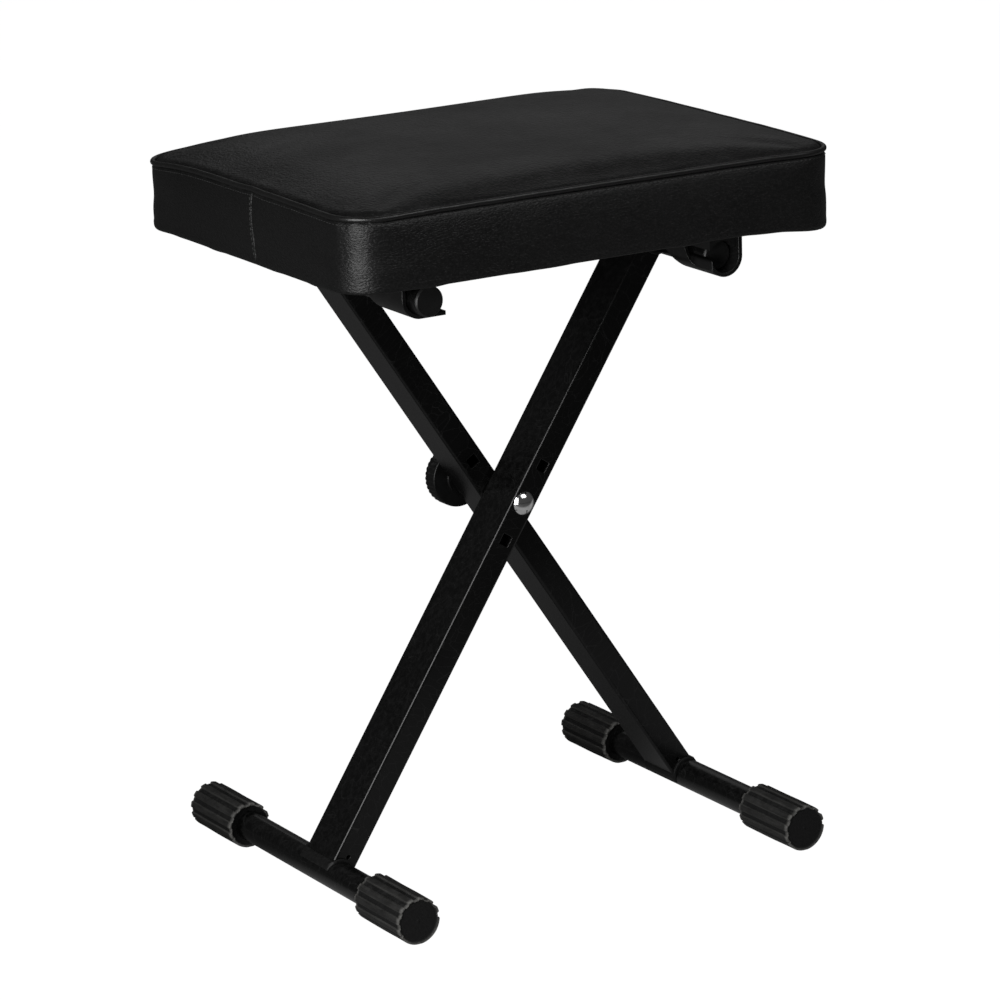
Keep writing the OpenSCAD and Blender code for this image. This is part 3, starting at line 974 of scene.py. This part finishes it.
    def _eased(self, spot: Vector) -> Vector:
        """Moves a point of the cover, piping or stitches to where the slack of the vinyl puts it.

        Args:
            spot: The point as sewn.

        Returns:
            The point as it hangs.
        """
        level = smoothstep(spot.z, self.low.z + self.hem_still, self.piping_z)
        inside, outward = self.outline.inward(spot.x, spot.y)
        edge = 1.0 - smoothstep(inside, *self.edge_band)
        droop = 0.0
        for x in (-1.0, 1.0):
            for y in (-1.0, 1.0):
                post = Vector((x * (self.high.x - self.corner_post), y * (self.high.y - self.corner_post)))
                away = (Vector((spot.x, spot.y)) - post).length
                slack = self.slack_droop if x < 0.0 < y else 0.0
                droop += (self.corner_droop + slack) * math.exp(-((away / self.corner_reach) ** 2))
        off_seam = (spot.y - self.seam_y) / self.seam_reach
        seam = self.seam_rise * math.exp(-(off_seam ** 2)) * (outward.x < -0.9)
        shift = outward * (self.bulge * edge) + Vector((0.0, 0.0, seam * edge - droop))
        lean = self.side_lean * smoothstep(spot.x, self.high.x - self.lean_run, self.high.x)
        return spot + shift * level + Vector((lean, 0.0, -self._fold_sag(spot)))

    def _fold_sag(self, spot: Vector) -> float:
        """How far the folded vinyl hangs at the bottom of the front right corner.

        Args:
            spot: A point of the cushion.

        Returns:
            The drop in metres.
        """
        post = Vector((self.high.x - self.fold_post, self.low.y + self.fold_post))
        away = (Vector((spot.x, spot.y)) - post).length
        start, end = self.fold_band
        low_down = 1.0 - smoothstep(spot.z, self.low.z + start, self.low.z + end)
        return self.fold_sag * low_down * math.exp(-((away / self.fold_reach) ** 2))

    def _seam_at(self, z: float) -> float:
        """Where a side seam runs, along Y, at a height."""
        return self.seam_y + self.seam_slant * (z - (self.low.z + self.piping_z) / 2.0)

    def _sewn(self, place: Vector) -> Vector:
        """Pulls a point of the finished cover in at the piping, the hem and the side seams.

        Args:
            place: A point of the swollen cover.

        Returns:
            The point where the finished cover has it.
        """
        spot = place.copy()
        inside, outward = self.outline.inward(spot.x, spot.y)
        rise = spot.z - self.piping_z
        if abs(rise) < self.notch:
            wanted = self.notch_depth * (1.0 - (rise / self.notch) ** 2)
            if inside < wanted:
                spot -= outward * (wanted - inside)
        if rise > -self.notch and 1.0 * MM < inside < 9.0 * MM:
            dip = 1.0 * MM * math.exp(-(((inside - 3.6 * MM) / (2.2 * MM)) ** 2))
            spot.z -= dip
        spot += self._puckers(place, inside, outward, rise)
        spot = self._squared_hem(spot)
        at_hem = spot.z < self.low.z + self.hem_still
        if at_hem and inside > self.hem_width - 2.0 * MM:
            spot.z = self.low.z + 0.7 * MM
        elif at_hem:
            fold = noise.noise(Vector((place.x * 34.0, place.y * 34.0, 7.0)))
            spot.z -= 1.4 * MM * max(0.0, fold)
        return self._eased(spot)

    def _puckers(self, place: Vector, inside: float, outward: Vector, rise: float) -> Vector:
        """The small waves of vinyl drawn tight by the stitches above and the staples below.

        Args:
            place: A point of the cover.
            inside: How far inside the outline it lies.
            outward: The direction straight out of the nearest side.
            rise: Its height above the piping.

        Returns:
            How far the point moves.
        """
        if inside > self.pucker_band or rise > -2.0 * MM:
            return Vector((0.0, 0.0, 0.0))
        along = place.y if abs(outward.x) > abs(outward.y) else place.x
        wave = noise.noise(Vector((place.x * 46.0, place.y * 46.0, place.z * 16.0)))
        near_top = math.exp(rise / self.pucker_fade)
        near_hem = math.exp(-(place.z - self.low.z) / self.pucker_fade)
        tack = 0.5 - 0.5 * math.cos(along / self.staple_pitch * math.tau)
        swing = 0.3 * MM * wave * (0.4 + near_top) - 0.25 * MM * tack * near_hem
        return outward * swing

    def _squared_hem(self, spot: Vector) -> Vector:
        """Fits the bottom edge tightly round the board's edge, with only a small rounding.

        Args:
            spot: A point of the cover.

        Returns:
            The point, drawn to the board's edge.
        """
        inside, outward = self.outline.inward(spot.x, spot.y)
        zone = self.hem_zone
        across, down = zone - inside, zone - (spot.z - self.low.z)
        if across <= 0.0 or down <= 0.0:
            return spot
        reach = math.hypot(across, down)
        tight = zone / ((across / reach) ** 6 + (down / reach) ** 6) ** (1.0 / 6.0)
        hold = smoothstep(max(across, down) / zone, 0.0, 0.5)
        hold *= smoothstep(min(across, down) / zone, 0.0, 0.35)
        grow = (tight / reach - 1.0) * hold
        return spot + outward * (across * grow) - Vector((0.0, 0.0, down * grow))

    def _cut_seams(self, builder: bmesh.types.BMesh) -> None:
        """Adds loops beside each side seam and presses the seam in between two soft ridges.

        Args:
            builder: The cover's bmesh.
        """
        middle = (self.low.z + self.piping_z) / 2.0
        side = self.high.x - self.seam_band
        for mark in self.seam_marks:
            near = [face for face in builder.faces if abs(face.calc_center_median().x) > side]
            corners = {corner for face in near for corner in face.verts}
            edges = {edge for face in near for edge in face.edges}
            bmesh.ops.bisect_plane(builder, geom=[*corners, *edges, *near], dist=1e-6,
                                   plane_co=(0.0, self.seam_y + mark * MM, middle),
                                   plane_no=(0.0, 1.0, -self.seam_slant))
        for corner in builder.verts:
            inside, outward = self.outline.inward(corner.co.x, corner.co.y)
            on_side = abs(outward.x) > 0.9 and inside < 5.0 * MM
            below = self.low.z + 4.0 * MM < corner.co.z < self.piping_z - 2.0 * MM
            if on_side and below:
                gap = abs(corner.co.y - self._seam_at(corner.co.z))
                groove = self.seam_depth * math.exp(-((gap / self.seam_half) ** 2))
                ridge = self.ridge_height * math.exp(-(((gap - self.ridge_place) / self.ridge_half) ** 2))
                corner.co += outward * (ridge - groove)

    def build_cover(self) -> bpy.types.Object:
        """Builds the vinyl cover over its foam.

        Returns:
            The cover.
        """
        piece = self._blank()
        self._pre_shape(piece.data)
        self._inflate(piece)
        subdivision = piece.modifiers.new("finer", "SUBSURF")
        subdivision.levels = 1
        subdivision.render_levels = 1
        fine = applied(piece)
        piece.modifiers.clear()
        builder = bmesh.new()
        builder.from_mesh(fine)
        for corner in builder.verts:
            corner.co = self._sewn(corner.co)
        self._cut_seams(builder)
        bmesh.ops.recalc_face_normals(builder, faces=builder.faces)
        bpy.data.objects.remove(piece)
        cover = new_piece("cushion_cover", builder, self.palette[Look.COVER], "seat")
        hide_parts("seat_foam", "seat_top_panel", "seat_boxing")
        return cover

    def build_piping(self) -> bpy.types.Object:
        """Builds the round welt that runs once around the top edge.

        Returns:
            The piping.
        """
        builder = bmesh.new()
        radius = self.corner_radius - self.piping_inset
        turn = Matrix.Rotation(math.pi / 2.0, 4, "Y")
        start = Vector((0.0, -(self.high.y - self.piping_inset), self.piping_z))
        bmesh.ops.create_circle(builder, radius=self.piping_radius, segments=14,
                                matrix=Matrix.Translation(start) @ turn)
        loop = list(builder.edges)
        heading = Vector((1.0, 0.0, 0.0))
        across, along = self.high.x - self.corner_radius, self.high.y - self.corner_radius
        runs = (across, 2.0 * along, 2.0 * across, 2.0 * along, across)
        for number, run in enumerate(runs):
            steps = max(1, round(run / (7.0 * MM)))
            for _ in range(steps):
                made = bmesh.ops.extrude_edge_only(builder, edges=loop)["geom"]
                bmesh.ops.translate(builder, vec=heading * (run / steps),
                                    verts=[g for g in made if isinstance(g, bmesh.types.BMVert)])
                loop = [g for g in made if isinstance(g, bmesh.types.BMEdge)]
            if number == len(runs) - 1:
                break
            inward = Vector((-heading.y, heading.x, 0.0))
            middle = sum((v.co for v in {v for e in loop for v in e.verts}), Vector()) / len(loop)
            made = bmesh.ops.spin(builder, geom=[*loop, *{v for e in loop for v in e.verts}],
                                  cent=middle + inward * radius, axis=(0.0, 0.0, 1.0),
                                  angle=math.pi / 2.0, steps=12)["geom_last"]
            loop = [g for g in made if isinstance(g, bmesh.types.BMEdge)]
            heading = inward
        bmesh.ops.remove_doubles(builder, verts=builder.verts, dist=0.05 * MM)
        for corner in builder.verts:
            shake = noise.noise_vector(corner.co * 55.0) * (0.25 * MM)
            corner.co = self._eased(corner.co) + shake
        bmesh.ops.recalc_face_normals(builder, faces=builder.faces)
        piping = new_piece("seat_welt", builder, self.palette[Look.WELT], "seat")
        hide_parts("seat_piping")
        subdivision = piping.modifiers.new("round", "SUBSURF")
        subdivision.levels = 1
        subdivision.render_levels = 1
        return piping

    def _stitch(self) -> bpy.types.Mesh:
        """One short thread that dips into the vinyl at both ends, along local X.

        Returns:
            The thread's mesh.
        """
        builder = bmesh.new()
        bmesh.ops.create_uvsphere(builder, u_segments=6, v_segments=5, radius=1.0,
                                  matrix=Matrix.Rotation(math.pi / 2.0, 4, "Y"))
        bmesh.ops.scale(builder, vec=(self.stitch_length / 2.0, self.stitch_radius, self.stitch_radius),
                        verts=builder.verts)
        mesh = bpy.data.meshes.new("stitch")
        builder.to_mesh(mesh)
        builder.free()
        return mesh

    def build_stitches(self, cover: bpy.types.Object) -> bpy.types.Object:
        """Sews one row of stitches below the piping and one beside each side seam.

        Args:
            cover: The finished cover, which the stitches lie on.

        Returns:
            The stitches, as one piece.
        """
        surface = BVHTree.FromObject(cover, bpy.context.evaluated_depsgraph_get())
        unit = self._stitch()
        builder = bmesh.new()
        places = []
        for spot, outward in self.outline.walk(0.0, self.stitch_pitch):
            place = self._eased(Vector((spot.x, spot.y, self.piping_z - self.stitch_drop)))
            places.append((place, outward, Vector((0.0, 0.0, 1.0))))
        rows = int((self.piping_z - self.low.z - 2.5 * self.stitch_drop) / self.stitch_pitch)
        for side in (-1.0, 1.0):
            for row in range(rows):
                level = self.low.z + 1.5 * self.stitch_drop + (row + 0.5) * self.stitch_pitch
                place = Vector((side * self.high.x, self._seam_at(level) + self.stitch_from_seam, level))
                places.append((place, Vector((side, 0.0, 0.0)), Vector((0.0, 1.0, 0.0))))
        for place, outward, across in places:
            hit, *_ = surface.ray_cast(place + outward * self.probe, -outward, 2.0 * self.probe)
            if hit is None:
                continue
            along = across.cross(outward).normalized()
            frame = Matrix((along, across, outward)).transposed().to_4x4()
            fresh = bmesh.new()
            fresh.from_mesh(unit)
            spot = Matrix.Translation(hit + outward * self.stitch_proud)
            bmesh.ops.transform(fresh, matrix=spot @ frame, verts=fresh.verts)
            joined = bpy.data.meshes.new("one")
            fresh.to_mesh(joined)
            fresh.free()
            builder.from_mesh(joined)
            bpy.data.meshes.remove(joined)
        return new_piece("cover_stitches", builder, self.palette[Look.THREAD], "seat")


# ---------------------------------------------------------------- feet, bolt and knob


@dataclass
class FootCap:
    """One ribbed rubber cap on the end of a foot tube."""

    node: str
    body: str
    side: Side
    palette: Palette
    places: int = 12
    groove_depth: float = 1.3 * MM
    groove_half: float = 7.6
    phase: float = 95.0
    smooth_middle: float = 283.0
    smooth_half: float = 70.0
    edge: float = 1.1 * MM
    lip: float = 2.4 * MM
    recess: float = 1.3 * MM
    rim: float = 1.9 * MM
    dish: float = 0.9 * MM
    wear_depth: float = 0.25 * MM
    steps: int = 288

    def _outline(self, radius: float, length: float) -> list[Point]:
        """The cap's outline from the middle of its closed face to the mouth around the tube.

        Args:
            radius: The cap's outer radius.
            length: The cap's length.

        Returns:
            Points of radius and distance along the axis.
        """
        face = radius - self.rim
        points = [(0.0, self.dish - 0.35 * MM), (0.7 * MM, self.dish - 0.35 * MM), (1.1 * MM, self.dish)]
        points += [(face * k / 8.0, self.dish) for k in range(1, 8)]
        points += arc((face - 0.9 * MM, 0.0), 0.9 * MM, 90.0, 20.0, 3)
        points += [(radius - self.edge - 0.1 * MM, 0.0)]
        points += arc((radius - self.edge, self.edge), self.edge, -80.0, 0.0, 5)
        rings = 26
        run = length - 2.0 * self.edge
        points += [(radius, self.edge + run * k / rings) for k in range(1, rings)]
        points += arc((radius - self.edge, length - self.edge), self.edge, 0.0, 90.0, 5)
        inner = radius - self.lip
        floor = length - self.recess
        points += [(inner, length), (inner - 0.3 * MM, floor), (0.0, floor - 0.1 * MM)]
        return points

    def _groove(self, angle: float) -> float:
        """How deep the groove is at an angle in degrees, from 0 to 1.

        Args:
            angle: The angle around the cap.

        Returns:
            The depth.
        """
        if abs((angle - self.smooth_middle + 180.0) % 360.0 - 180.0) < self.smooth_half:
            return 0.0
        pitch = 360.0 / self.places
        off = abs((angle - self.phase + pitch / 2.0) % pitch - pitch / 2.0)
        return 1.0 - smoothstep(off, self.groove_half * 0.72, self.groove_half * 1.08)

    def build(self) -> bpy.types.Object:
        """Builds the cap along Y, with its closed face outwards.

        Returns:
            The cap.
        """
        low, high = (Vector(corner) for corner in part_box(self.node))
        radius = (high.x - low.x) / 2.0
        length = high.y - low.y
        axis = Vector(((high.x + low.x) / 2.0, 0.0, high.z - radius))
        builder = bmesh.new()
        turned(builder, self._outline(radius, length), self.steps)
        ridge = builder.verts.layers.float.new("ridge")
        rim = builder.verts.layers.float.new("rim")
        for corner in builder.verts:
            around = math.hypot(corner.co.x, corner.co.z)
            angle = math.degrees(math.atan2(corner.co.z, corner.co.x)) % 360.0
            outer = smoothstep(around, radius - 3.0 * MM, radius - 0.6 * MM)
            groove = self._groove(angle)
            depth = groove * outer
            to_end = min(corner.co.y, length - corner.co.y)
            # The rim attribute is the mask of a painted highlight on the end rims and the top edges of the
            # groove walls.
            rim_highlight = smoothstep(around, radius - 2.2 * MM, radius - 0.8 * MM)
            rim_highlight *= 1.0 - smoothstep(to_end, 0.9 * MM, 2.2 * MM)
            corner[rim] = max(rim_highlight, 0.45 * outer * 4.0 * groove * (1.0 - groove))
            if around > 1e-6:
                shrink = 1.0 - depth * self.groove_depth / around
                spot = Vector((corner.co.x * 90.0, corner.co.y * 40.0, corner.co.z * 90.0))
                shrink -= self.wear_depth * noise.noise(spot) * outer * (1.0 - depth) / around
                corner.co.x *= shrink
                corner.co.z *= shrink
            corner[ridge] = outer * (1.0 - groove)
        if self.side is Side.REAR:
            bmesh.ops.scale(builder, vec=(1.0, -1.0, 1.0), verts=builder.verts)
            bmesh.ops.reverse_faces(builder, faces=builder.faces)
        end = low.y if self.side is Side.FRONT else high.y
        bmesh.ops.translate(builder, vec=axis + Vector((0.0, end, 0.0)), verts=builder.verts)
        for corner in builder.verts:
            corner.co.z = max(corner.co.z, low.z)
        cap = new_piece(f"{self.node}_rubber", builder, self.palette[Look.RUBBER], self.body)
        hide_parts(self.node)
        return cap


@dataclass
class Knob:
    """The knurled knob, turned about the bolt's axis."""

    palette: Palette
    hub_radius: float = 10.0 * MM
    hub_length: float = 5.1 * MM
    grooves: int = 36
    groove_depth: float = 0.55 * MM

    def build(self) -> bpy.types.Object:
        """Builds the knob.

        Returns:
            The knob.
        """
        low, high = (Vector(corner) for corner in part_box("knob"))
        radius = (high.z - low.z) / 2.0
        length = high.y - low.y
        nut = Vector(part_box("knob_nut")[1]) - Vector(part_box("knob_nut")[0])
        pocket = nut.x / 2.0 + 0.1 * MM
        deep = nut.y
        builder = bmesh.new()
        outline = [(0.0, deep), (pocket, deep), (pocket, 0.15 * MM)]
        outline += arc((self.hub_radius - 0.8 * MM, 0.8 * MM), 0.8 * MM, -90.0, 0.0, 4)
        outline += arc((self.hub_radius + 1.2 * MM, self.hub_length - 1.2 * MM), 1.2 * MM, 180.0, 90.0, 4)
        outline += [(self.hub_radius + 3.5 * MM, self.hub_length), (radius - 2.6 * MM, self.hub_length)]
        outline += arc((radius - 1.1 * MM, self.hub_length + 1.1 * MM), 1.1 * MM, -90.0, 0.0, 5)
        outline += [(radius, self.hub_length + step * MM) for step in (1.8, 2.6, 3.6, 5.0, 7.5)]
        outline += [(radius, length - 2.4 * MM)]
        outline += arc((radius - 2.2 * MM, length - 2.2 * MM), 2.2 * MM, 0.0, 90.0, 6)
        outline += [(radius - 5.0 * MM, length - 0.5 * MM), (radius - 5.8 * MM, length - 0.9 * MM)]
        outline += [(4.0 * MM, length - 0.9 * MM), (0.0, length - 0.8 * MM)]
        turned(builder, outline, self.grooves * 8)
        for corner in builder.verts:
            around = math.hypot(corner.co.x, corner.co.z)
            angle = math.atan2(corner.co.z, corner.co.x)
            edge = smoothstep(around, radius - 2.4 * MM, radius - 0.6 * MM)
            edge *= smoothstep(corner.co.y, self.hub_length + 0.6 * MM, self.hub_length + 2.6 * MM)
            wave = 0.5 - 0.5 * math.cos(angle * self.grooves)
            if around > 1e-6:
                shrink = 1.0 - edge * (wave ** 1.5) * self.groove_depth / around
                corner.co.x *= shrink
                corner.co.z *= shrink
        middle = Vector((0.0, low.y, (high.z + low.z) / 2.0))
        bmesh.ops.translate(builder, vec=middle, verts=builder.verts)
        knob = new_piece("tightening_knob", builder, self.palette[Look.KNOB], "knob")
        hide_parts("knob")
        return knob


@dataclass
class CarriageBolt:
    """The domed bolt with a square neck and a threaded shank."""

    palette: Palette
    dome_height: float = 4.2 * MM
    shank_radius: float = 4.0 * MM
    neck_half: float = 4.05 * MM
    neck_length: float = 5.0 * MM
    thread_pitch: float = 1.25 * MM
    thread_length: float = 22.0 * MM

    def build(self) -> bpy.types.Object:
        """Builds the bolt along Y, its head at the front.

        Returns:
            The bolt.
        """
        low, high = (Vector(corner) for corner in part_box("carriage_bolt"))
        head = (high.x - low.x) / 2.0
        axis_z = (high.z + low.z) / 2.0
        sphere = (head ** 2 + self.dome_height ** 2) / (2.0 * self.dome_height)
        spread = math.degrees(math.asin(head / sphere))
        builder = bmesh.new()
        outline = arc((0.0, sphere), sphere, -90.0, -90.0 + spread * 0.96, 16)
        outline += [(head, self.dome_height - 0.1 * MM), (head, self.dome_height)]
        under = self.dome_height + 0.001 * MM
        outline += [(head - 0.3 * MM, under), (self.shank_radius, under)]
        length = high.y - low.y
        plain_end = length - self.thread_length
        outline += [(self.shank_radius, plain_end)]
        turns = int((self.thread_length - 1.5 * MM) / self.thread_pitch)
        for turn in range(turns):
            base = plain_end + turn * self.thread_pitch
            outline += [(self.shank_radius - 0.55 * MM, base + 0.5 * self.thread_pitch),
                        (self.shank_radius, base + self.thread_pitch)]
        outline += [(self.shank_radius - 1.0 * MM, length), (0.0, length)]
        turned(builder, outline, 64)
        bmesh.ops.translate(builder, vec=(0.0, low.y, axis_z), verts=builder.verts)
        bolt = new_piece("domed_bolt", builder, self.palette[Look.BRIGHT], "front_frame")
        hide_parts("carriage_bolt")
        return bolt

    def build_neck(self, lean: float) -> bpy.types.Object:
        """Builds the square neck inside the front leg's hole.

        Args:
            lean: The leg's lean from upright, in radians.

        Returns:
            The neck.
        """
        low, high = (Vector(corner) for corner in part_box("carriage_bolt"))
        builder = bmesh.new()
        bmesh.ops.create_cube(builder, size=1.0)
        size = (2.0 * self.neck_half, self.neck_length, 2.0 * self.neck_half)
        bmesh.ops.scale(builder, vec=size, verts=builder.verts)
        half = self.neck_length / 2.0
        long_edges = [e for e in builder.edges if abs(e.verts[0].co.y - e.verts[1].co.y) > half]
        bmesh.ops.bevel(builder, geom=long_edges, offset=0.4 * MM, segments=2, profile=0.5,
                        affect="EDGES", material=-1)
        middle = Vector((0.0, low.y + self.dome_height + self.neck_length / 2.0, (high.z + low.z) / 2.0))
        place = Matrix.Translation(middle) @ Matrix.Rotation(lean, 4, "Y")
        bmesh.ops.transform(builder, matrix=place, verts=builder.verts)
        return new_piece("bolt_square_neck", builder, self.palette[Look.BRIGHT], "front_frame",
                         smooth=False)


# ---------------------------------------------------------------- carried-over nodes


LOOK_BY_NAME: dict[str, Look] = {
    "front_leg": Look.COAT, "rear_leg": Look.COAT, "seat_board": Look.BOARD, "seat_foam": Look.FOAM,
    "seat_lining": Look.LINING, "seat_top_panel": Look.COVER, "seat_boxing": Look.COVER,
    "seat_piping": Look.COVER, "knob": Look.KNOB, "knob_nut": Look.BRASS,
}
LOOK_BY_WORD: tuple[tuple[str, Look], ...] = (
    ("_welds", Look.BEAD), ("_plugs", Look.PLUG), ("_tube", Look.COAT), ("_saddle_", Look.SADDLE),
    # Washers take the zinc coloured near black as painted shade.
    ("_pad_", Look.PAD), ("foot_cap", Look.RUBBER), ("washer", Look.SHADED_ZINC),
)


def look_of(name: str) -> Look:
    """The look of a CAD node: by its whole name, by a word in it, or else bright plating."""
    by_word = next((look for word, look in LOOK_BY_WORD if word in name), Look.BRIGHT)
    return LOOK_BY_NAME.get(name, by_word)


def dress(nodes: dict[str, bpy.types.Object], palette: Palette) -> None:
    """Puts the right material on every CAD node.

    Args:
        nodes: The CAD nodes by name.
        palette: The materials.
    """
    for name, piece in nodes.items():
        piece.data.materials.clear()
        piece.data.materials.append(palette[look_of(name)])
        LOG.info("dressed %s", name)


# ---------------------------------------------------------------- the studio


@dataclass
class Studio:
    """The floor, the soft lights and the camera."""

    azimuth: float = -31.03
    elevation: float = 15.45
    roll: float = -1.68
    distance: float = 3.3717
    target: Vector = field(default_factory=lambda: Vector((0.00466, 0.0, 0.2602)))
    lens: float = 165.94
    sensor: float = 36.0
    sky: float = 0.05

    def _floor(self) -> None:
        """A wide floor that is pure white to the camera and glows as a dim fill light to every other ray,
        brighter in a band in front of the bench and behind it.
        """
        builder = bmesh.new()
        bmesh.ops.create_grid(builder, x_segments=1, y_segments=1, size=12.0)
        mesh = bpy.data.meshes.new("floor")
        builder.to_mesh(mesh)
        builder.free()
        floor = bpy.data.objects.new("floor", mesh)
        bpy.context.scene.collection.objects.link(floor)
        material = bpy.data.materials.new("pale_floor")
        material.use_nodes = True
        graph = Graph(material.node_tree)
        shader = next(n for n in material.node_tree.nodes if n.type == "BSDF_PRINCIPLED")
        graph.feed(shader, {"Base Color": grey(0.06), "Roughness": 0.9, "Specular IOR Level": 0.0,
                            "Emission Color": grey(1.0)})
        seen = graph.add("ShaderNodeLightPath").outputs["Is Camera Ray"]
        spot = graph.add("ShaderNodeTexCoord").outputs["Object"]
        depth = graph.add("ShaderNodeSeparateXYZ", {0: spot}).outputs["Y"]
        near = graph.math("MULTIPLY", graph.ramp(depth, 0.1, -0.05), graph.ramp(depth, -0.6, -0.3))
        rear = graph.math("MULTIPLY", graph.ramp(depth, 0.1, 0.4), 0.045)
        card = graph.math("ADD", graph.math("MULTIPLY", near, 0.2), graph.math("ADD", rear, 0.03))
        graph.feed(shader, {"Emission Strength": graph.spread(seen, card, 1.0)})
        mesh.materials.append(material)

    def _area(self, name: str, place: Vector, aim: Vector, size: tuple[float, float], power: float) -> None:
        """Adds one soft rectangular light that faces a point.

        Args:
            name: The light's name.
            place: Where it stands.
            aim: The point that it faces.
            size: Its width and height in metres.
            power: Its power in watts.
        """
        light = bpy.data.lights.new(name, "AREA")
        light.shape = "RECTANGLE"
        light.size, light.size_y = size
        light.energy = power
        lamp = bpy.data.objects.new(name, light)
        lamp.location = place
        lamp.rotation_euler = (place - aim).to_track_quat("Z", "Y").to_euler()
        bpy.context.scene.collection.objects.link(lamp)

    def _sky(self) -> None:
        """White behind the bench, and dim around it, as in a tented studio."""
        world = bpy.data.worlds.new("studio")
        world.use_nodes = True
        graph = Graph(world.node_tree)
        back = next(n for n in world.node_tree.nodes if n.type == "BACKGROUND")
        seen = graph.add("ShaderNodeLightPath").outputs["Is Camera Ray"]
        graph.feed(back, {"Color": grey(1.0), "Strength": graph.spread(seen, self.sky, 1.0)})
        bpy.context.scene.world = world

    def _camera(self) -> None:
        """Stands the camera at its azimuth, elevation and roll about the target."""
        az, el, ro = (math.radians(a) for a in (self.azimuth, self.elevation, self.roll))
        back = Vector((math.sin(az) * math.cos(el), -math.cos(az) * math.cos(el), math.sin(el)))
        right = Vector((math.cos(az), math.sin(az), 0.0))
        up = back.cross(right)
        right, up = (right * math.cos(ro) + up * math.sin(ro), up * math.cos(ro) - right * math.sin(ro))
        lens = bpy.data.cameras.new("camera")
        lens.lens = self.lens
        lens.sensor_width = self.sensor
        lens.clip_end = 50.0
        camera = bpy.data.objects.new("camera", lens)
        turn = Matrix((right, up, back)).transposed()
        camera.matrix_world = Matrix.Translation(self.target + back * self.distance) @ turn.to_4x4()
        bpy.context.scene.collection.objects.link(camera)
        bpy.context.scene.camera = camera

    def build(self) -> None:
        """Builds the studio."""
        self._floor()
        self._sky()
        aim = Vector((0.0, 0.0, 0.35))
        self._area("left_softbox", Vector((-1.25, -0.83, 0.72)), Vector((0.0, 0.0, 0.72)), (0.8, 1.38), 30.0)
        self._area("front_softbox", Vector((0.44, -1.18, 1.66)), aim, (1.0, 0.8), 9.5)
        self._area("rear_softbox", Vector((1.3, 1.9, 1.5)), aim, (1.4, 1.0), 1.3)
        self._camera()
        bpy.context.scene.view_settings.view_transform = "Standard"


def leg_lean() -> float:
    """The legs' lean from upright, from the middles of the front leg's two round tubes.

    Returns:
        The lean in radians.
    """
    top_low, top_high = (Vector(corner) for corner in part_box("front_leg_top_tube"))
    foot_low, foot_high = (Vector(corner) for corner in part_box("front_leg_foot_tube"))
    run = (top_low + top_high - foot_low - foot_high) / 2.0
    return math.atan2(run.x, run.z)


def main() -> None:
    """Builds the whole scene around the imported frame."""
    logging.basicConfig(level=logging.INFO, format="%(message)s")
    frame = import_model()
    palette = Palette()
    Studio().build()
    dress(frame["nodes"], palette)
    cushion = Cushion(palette)
    cover = cushion.build_cover()
    pieces = [cover, cushion.build_piping(), cushion.build_stitches(cover)]
    for place, body in (("left", "front_frame"), ("right", "rear_frame")):
        for side in Side:
            pieces.append(FootCap(f"foot_cap_{place}_{side.name.lower()}", body, side, palette).build())
    bolt = CarriageBolt(palette)
    pieces += [Knob(palette).build(), bolt.build(), bolt.build_neck(leg_lean())]
    for piece in pieces:
        LOG.info("built %s: %d faces", piece.name, len(piece.data.polygons))


if __name__ == "__main__":
    main()
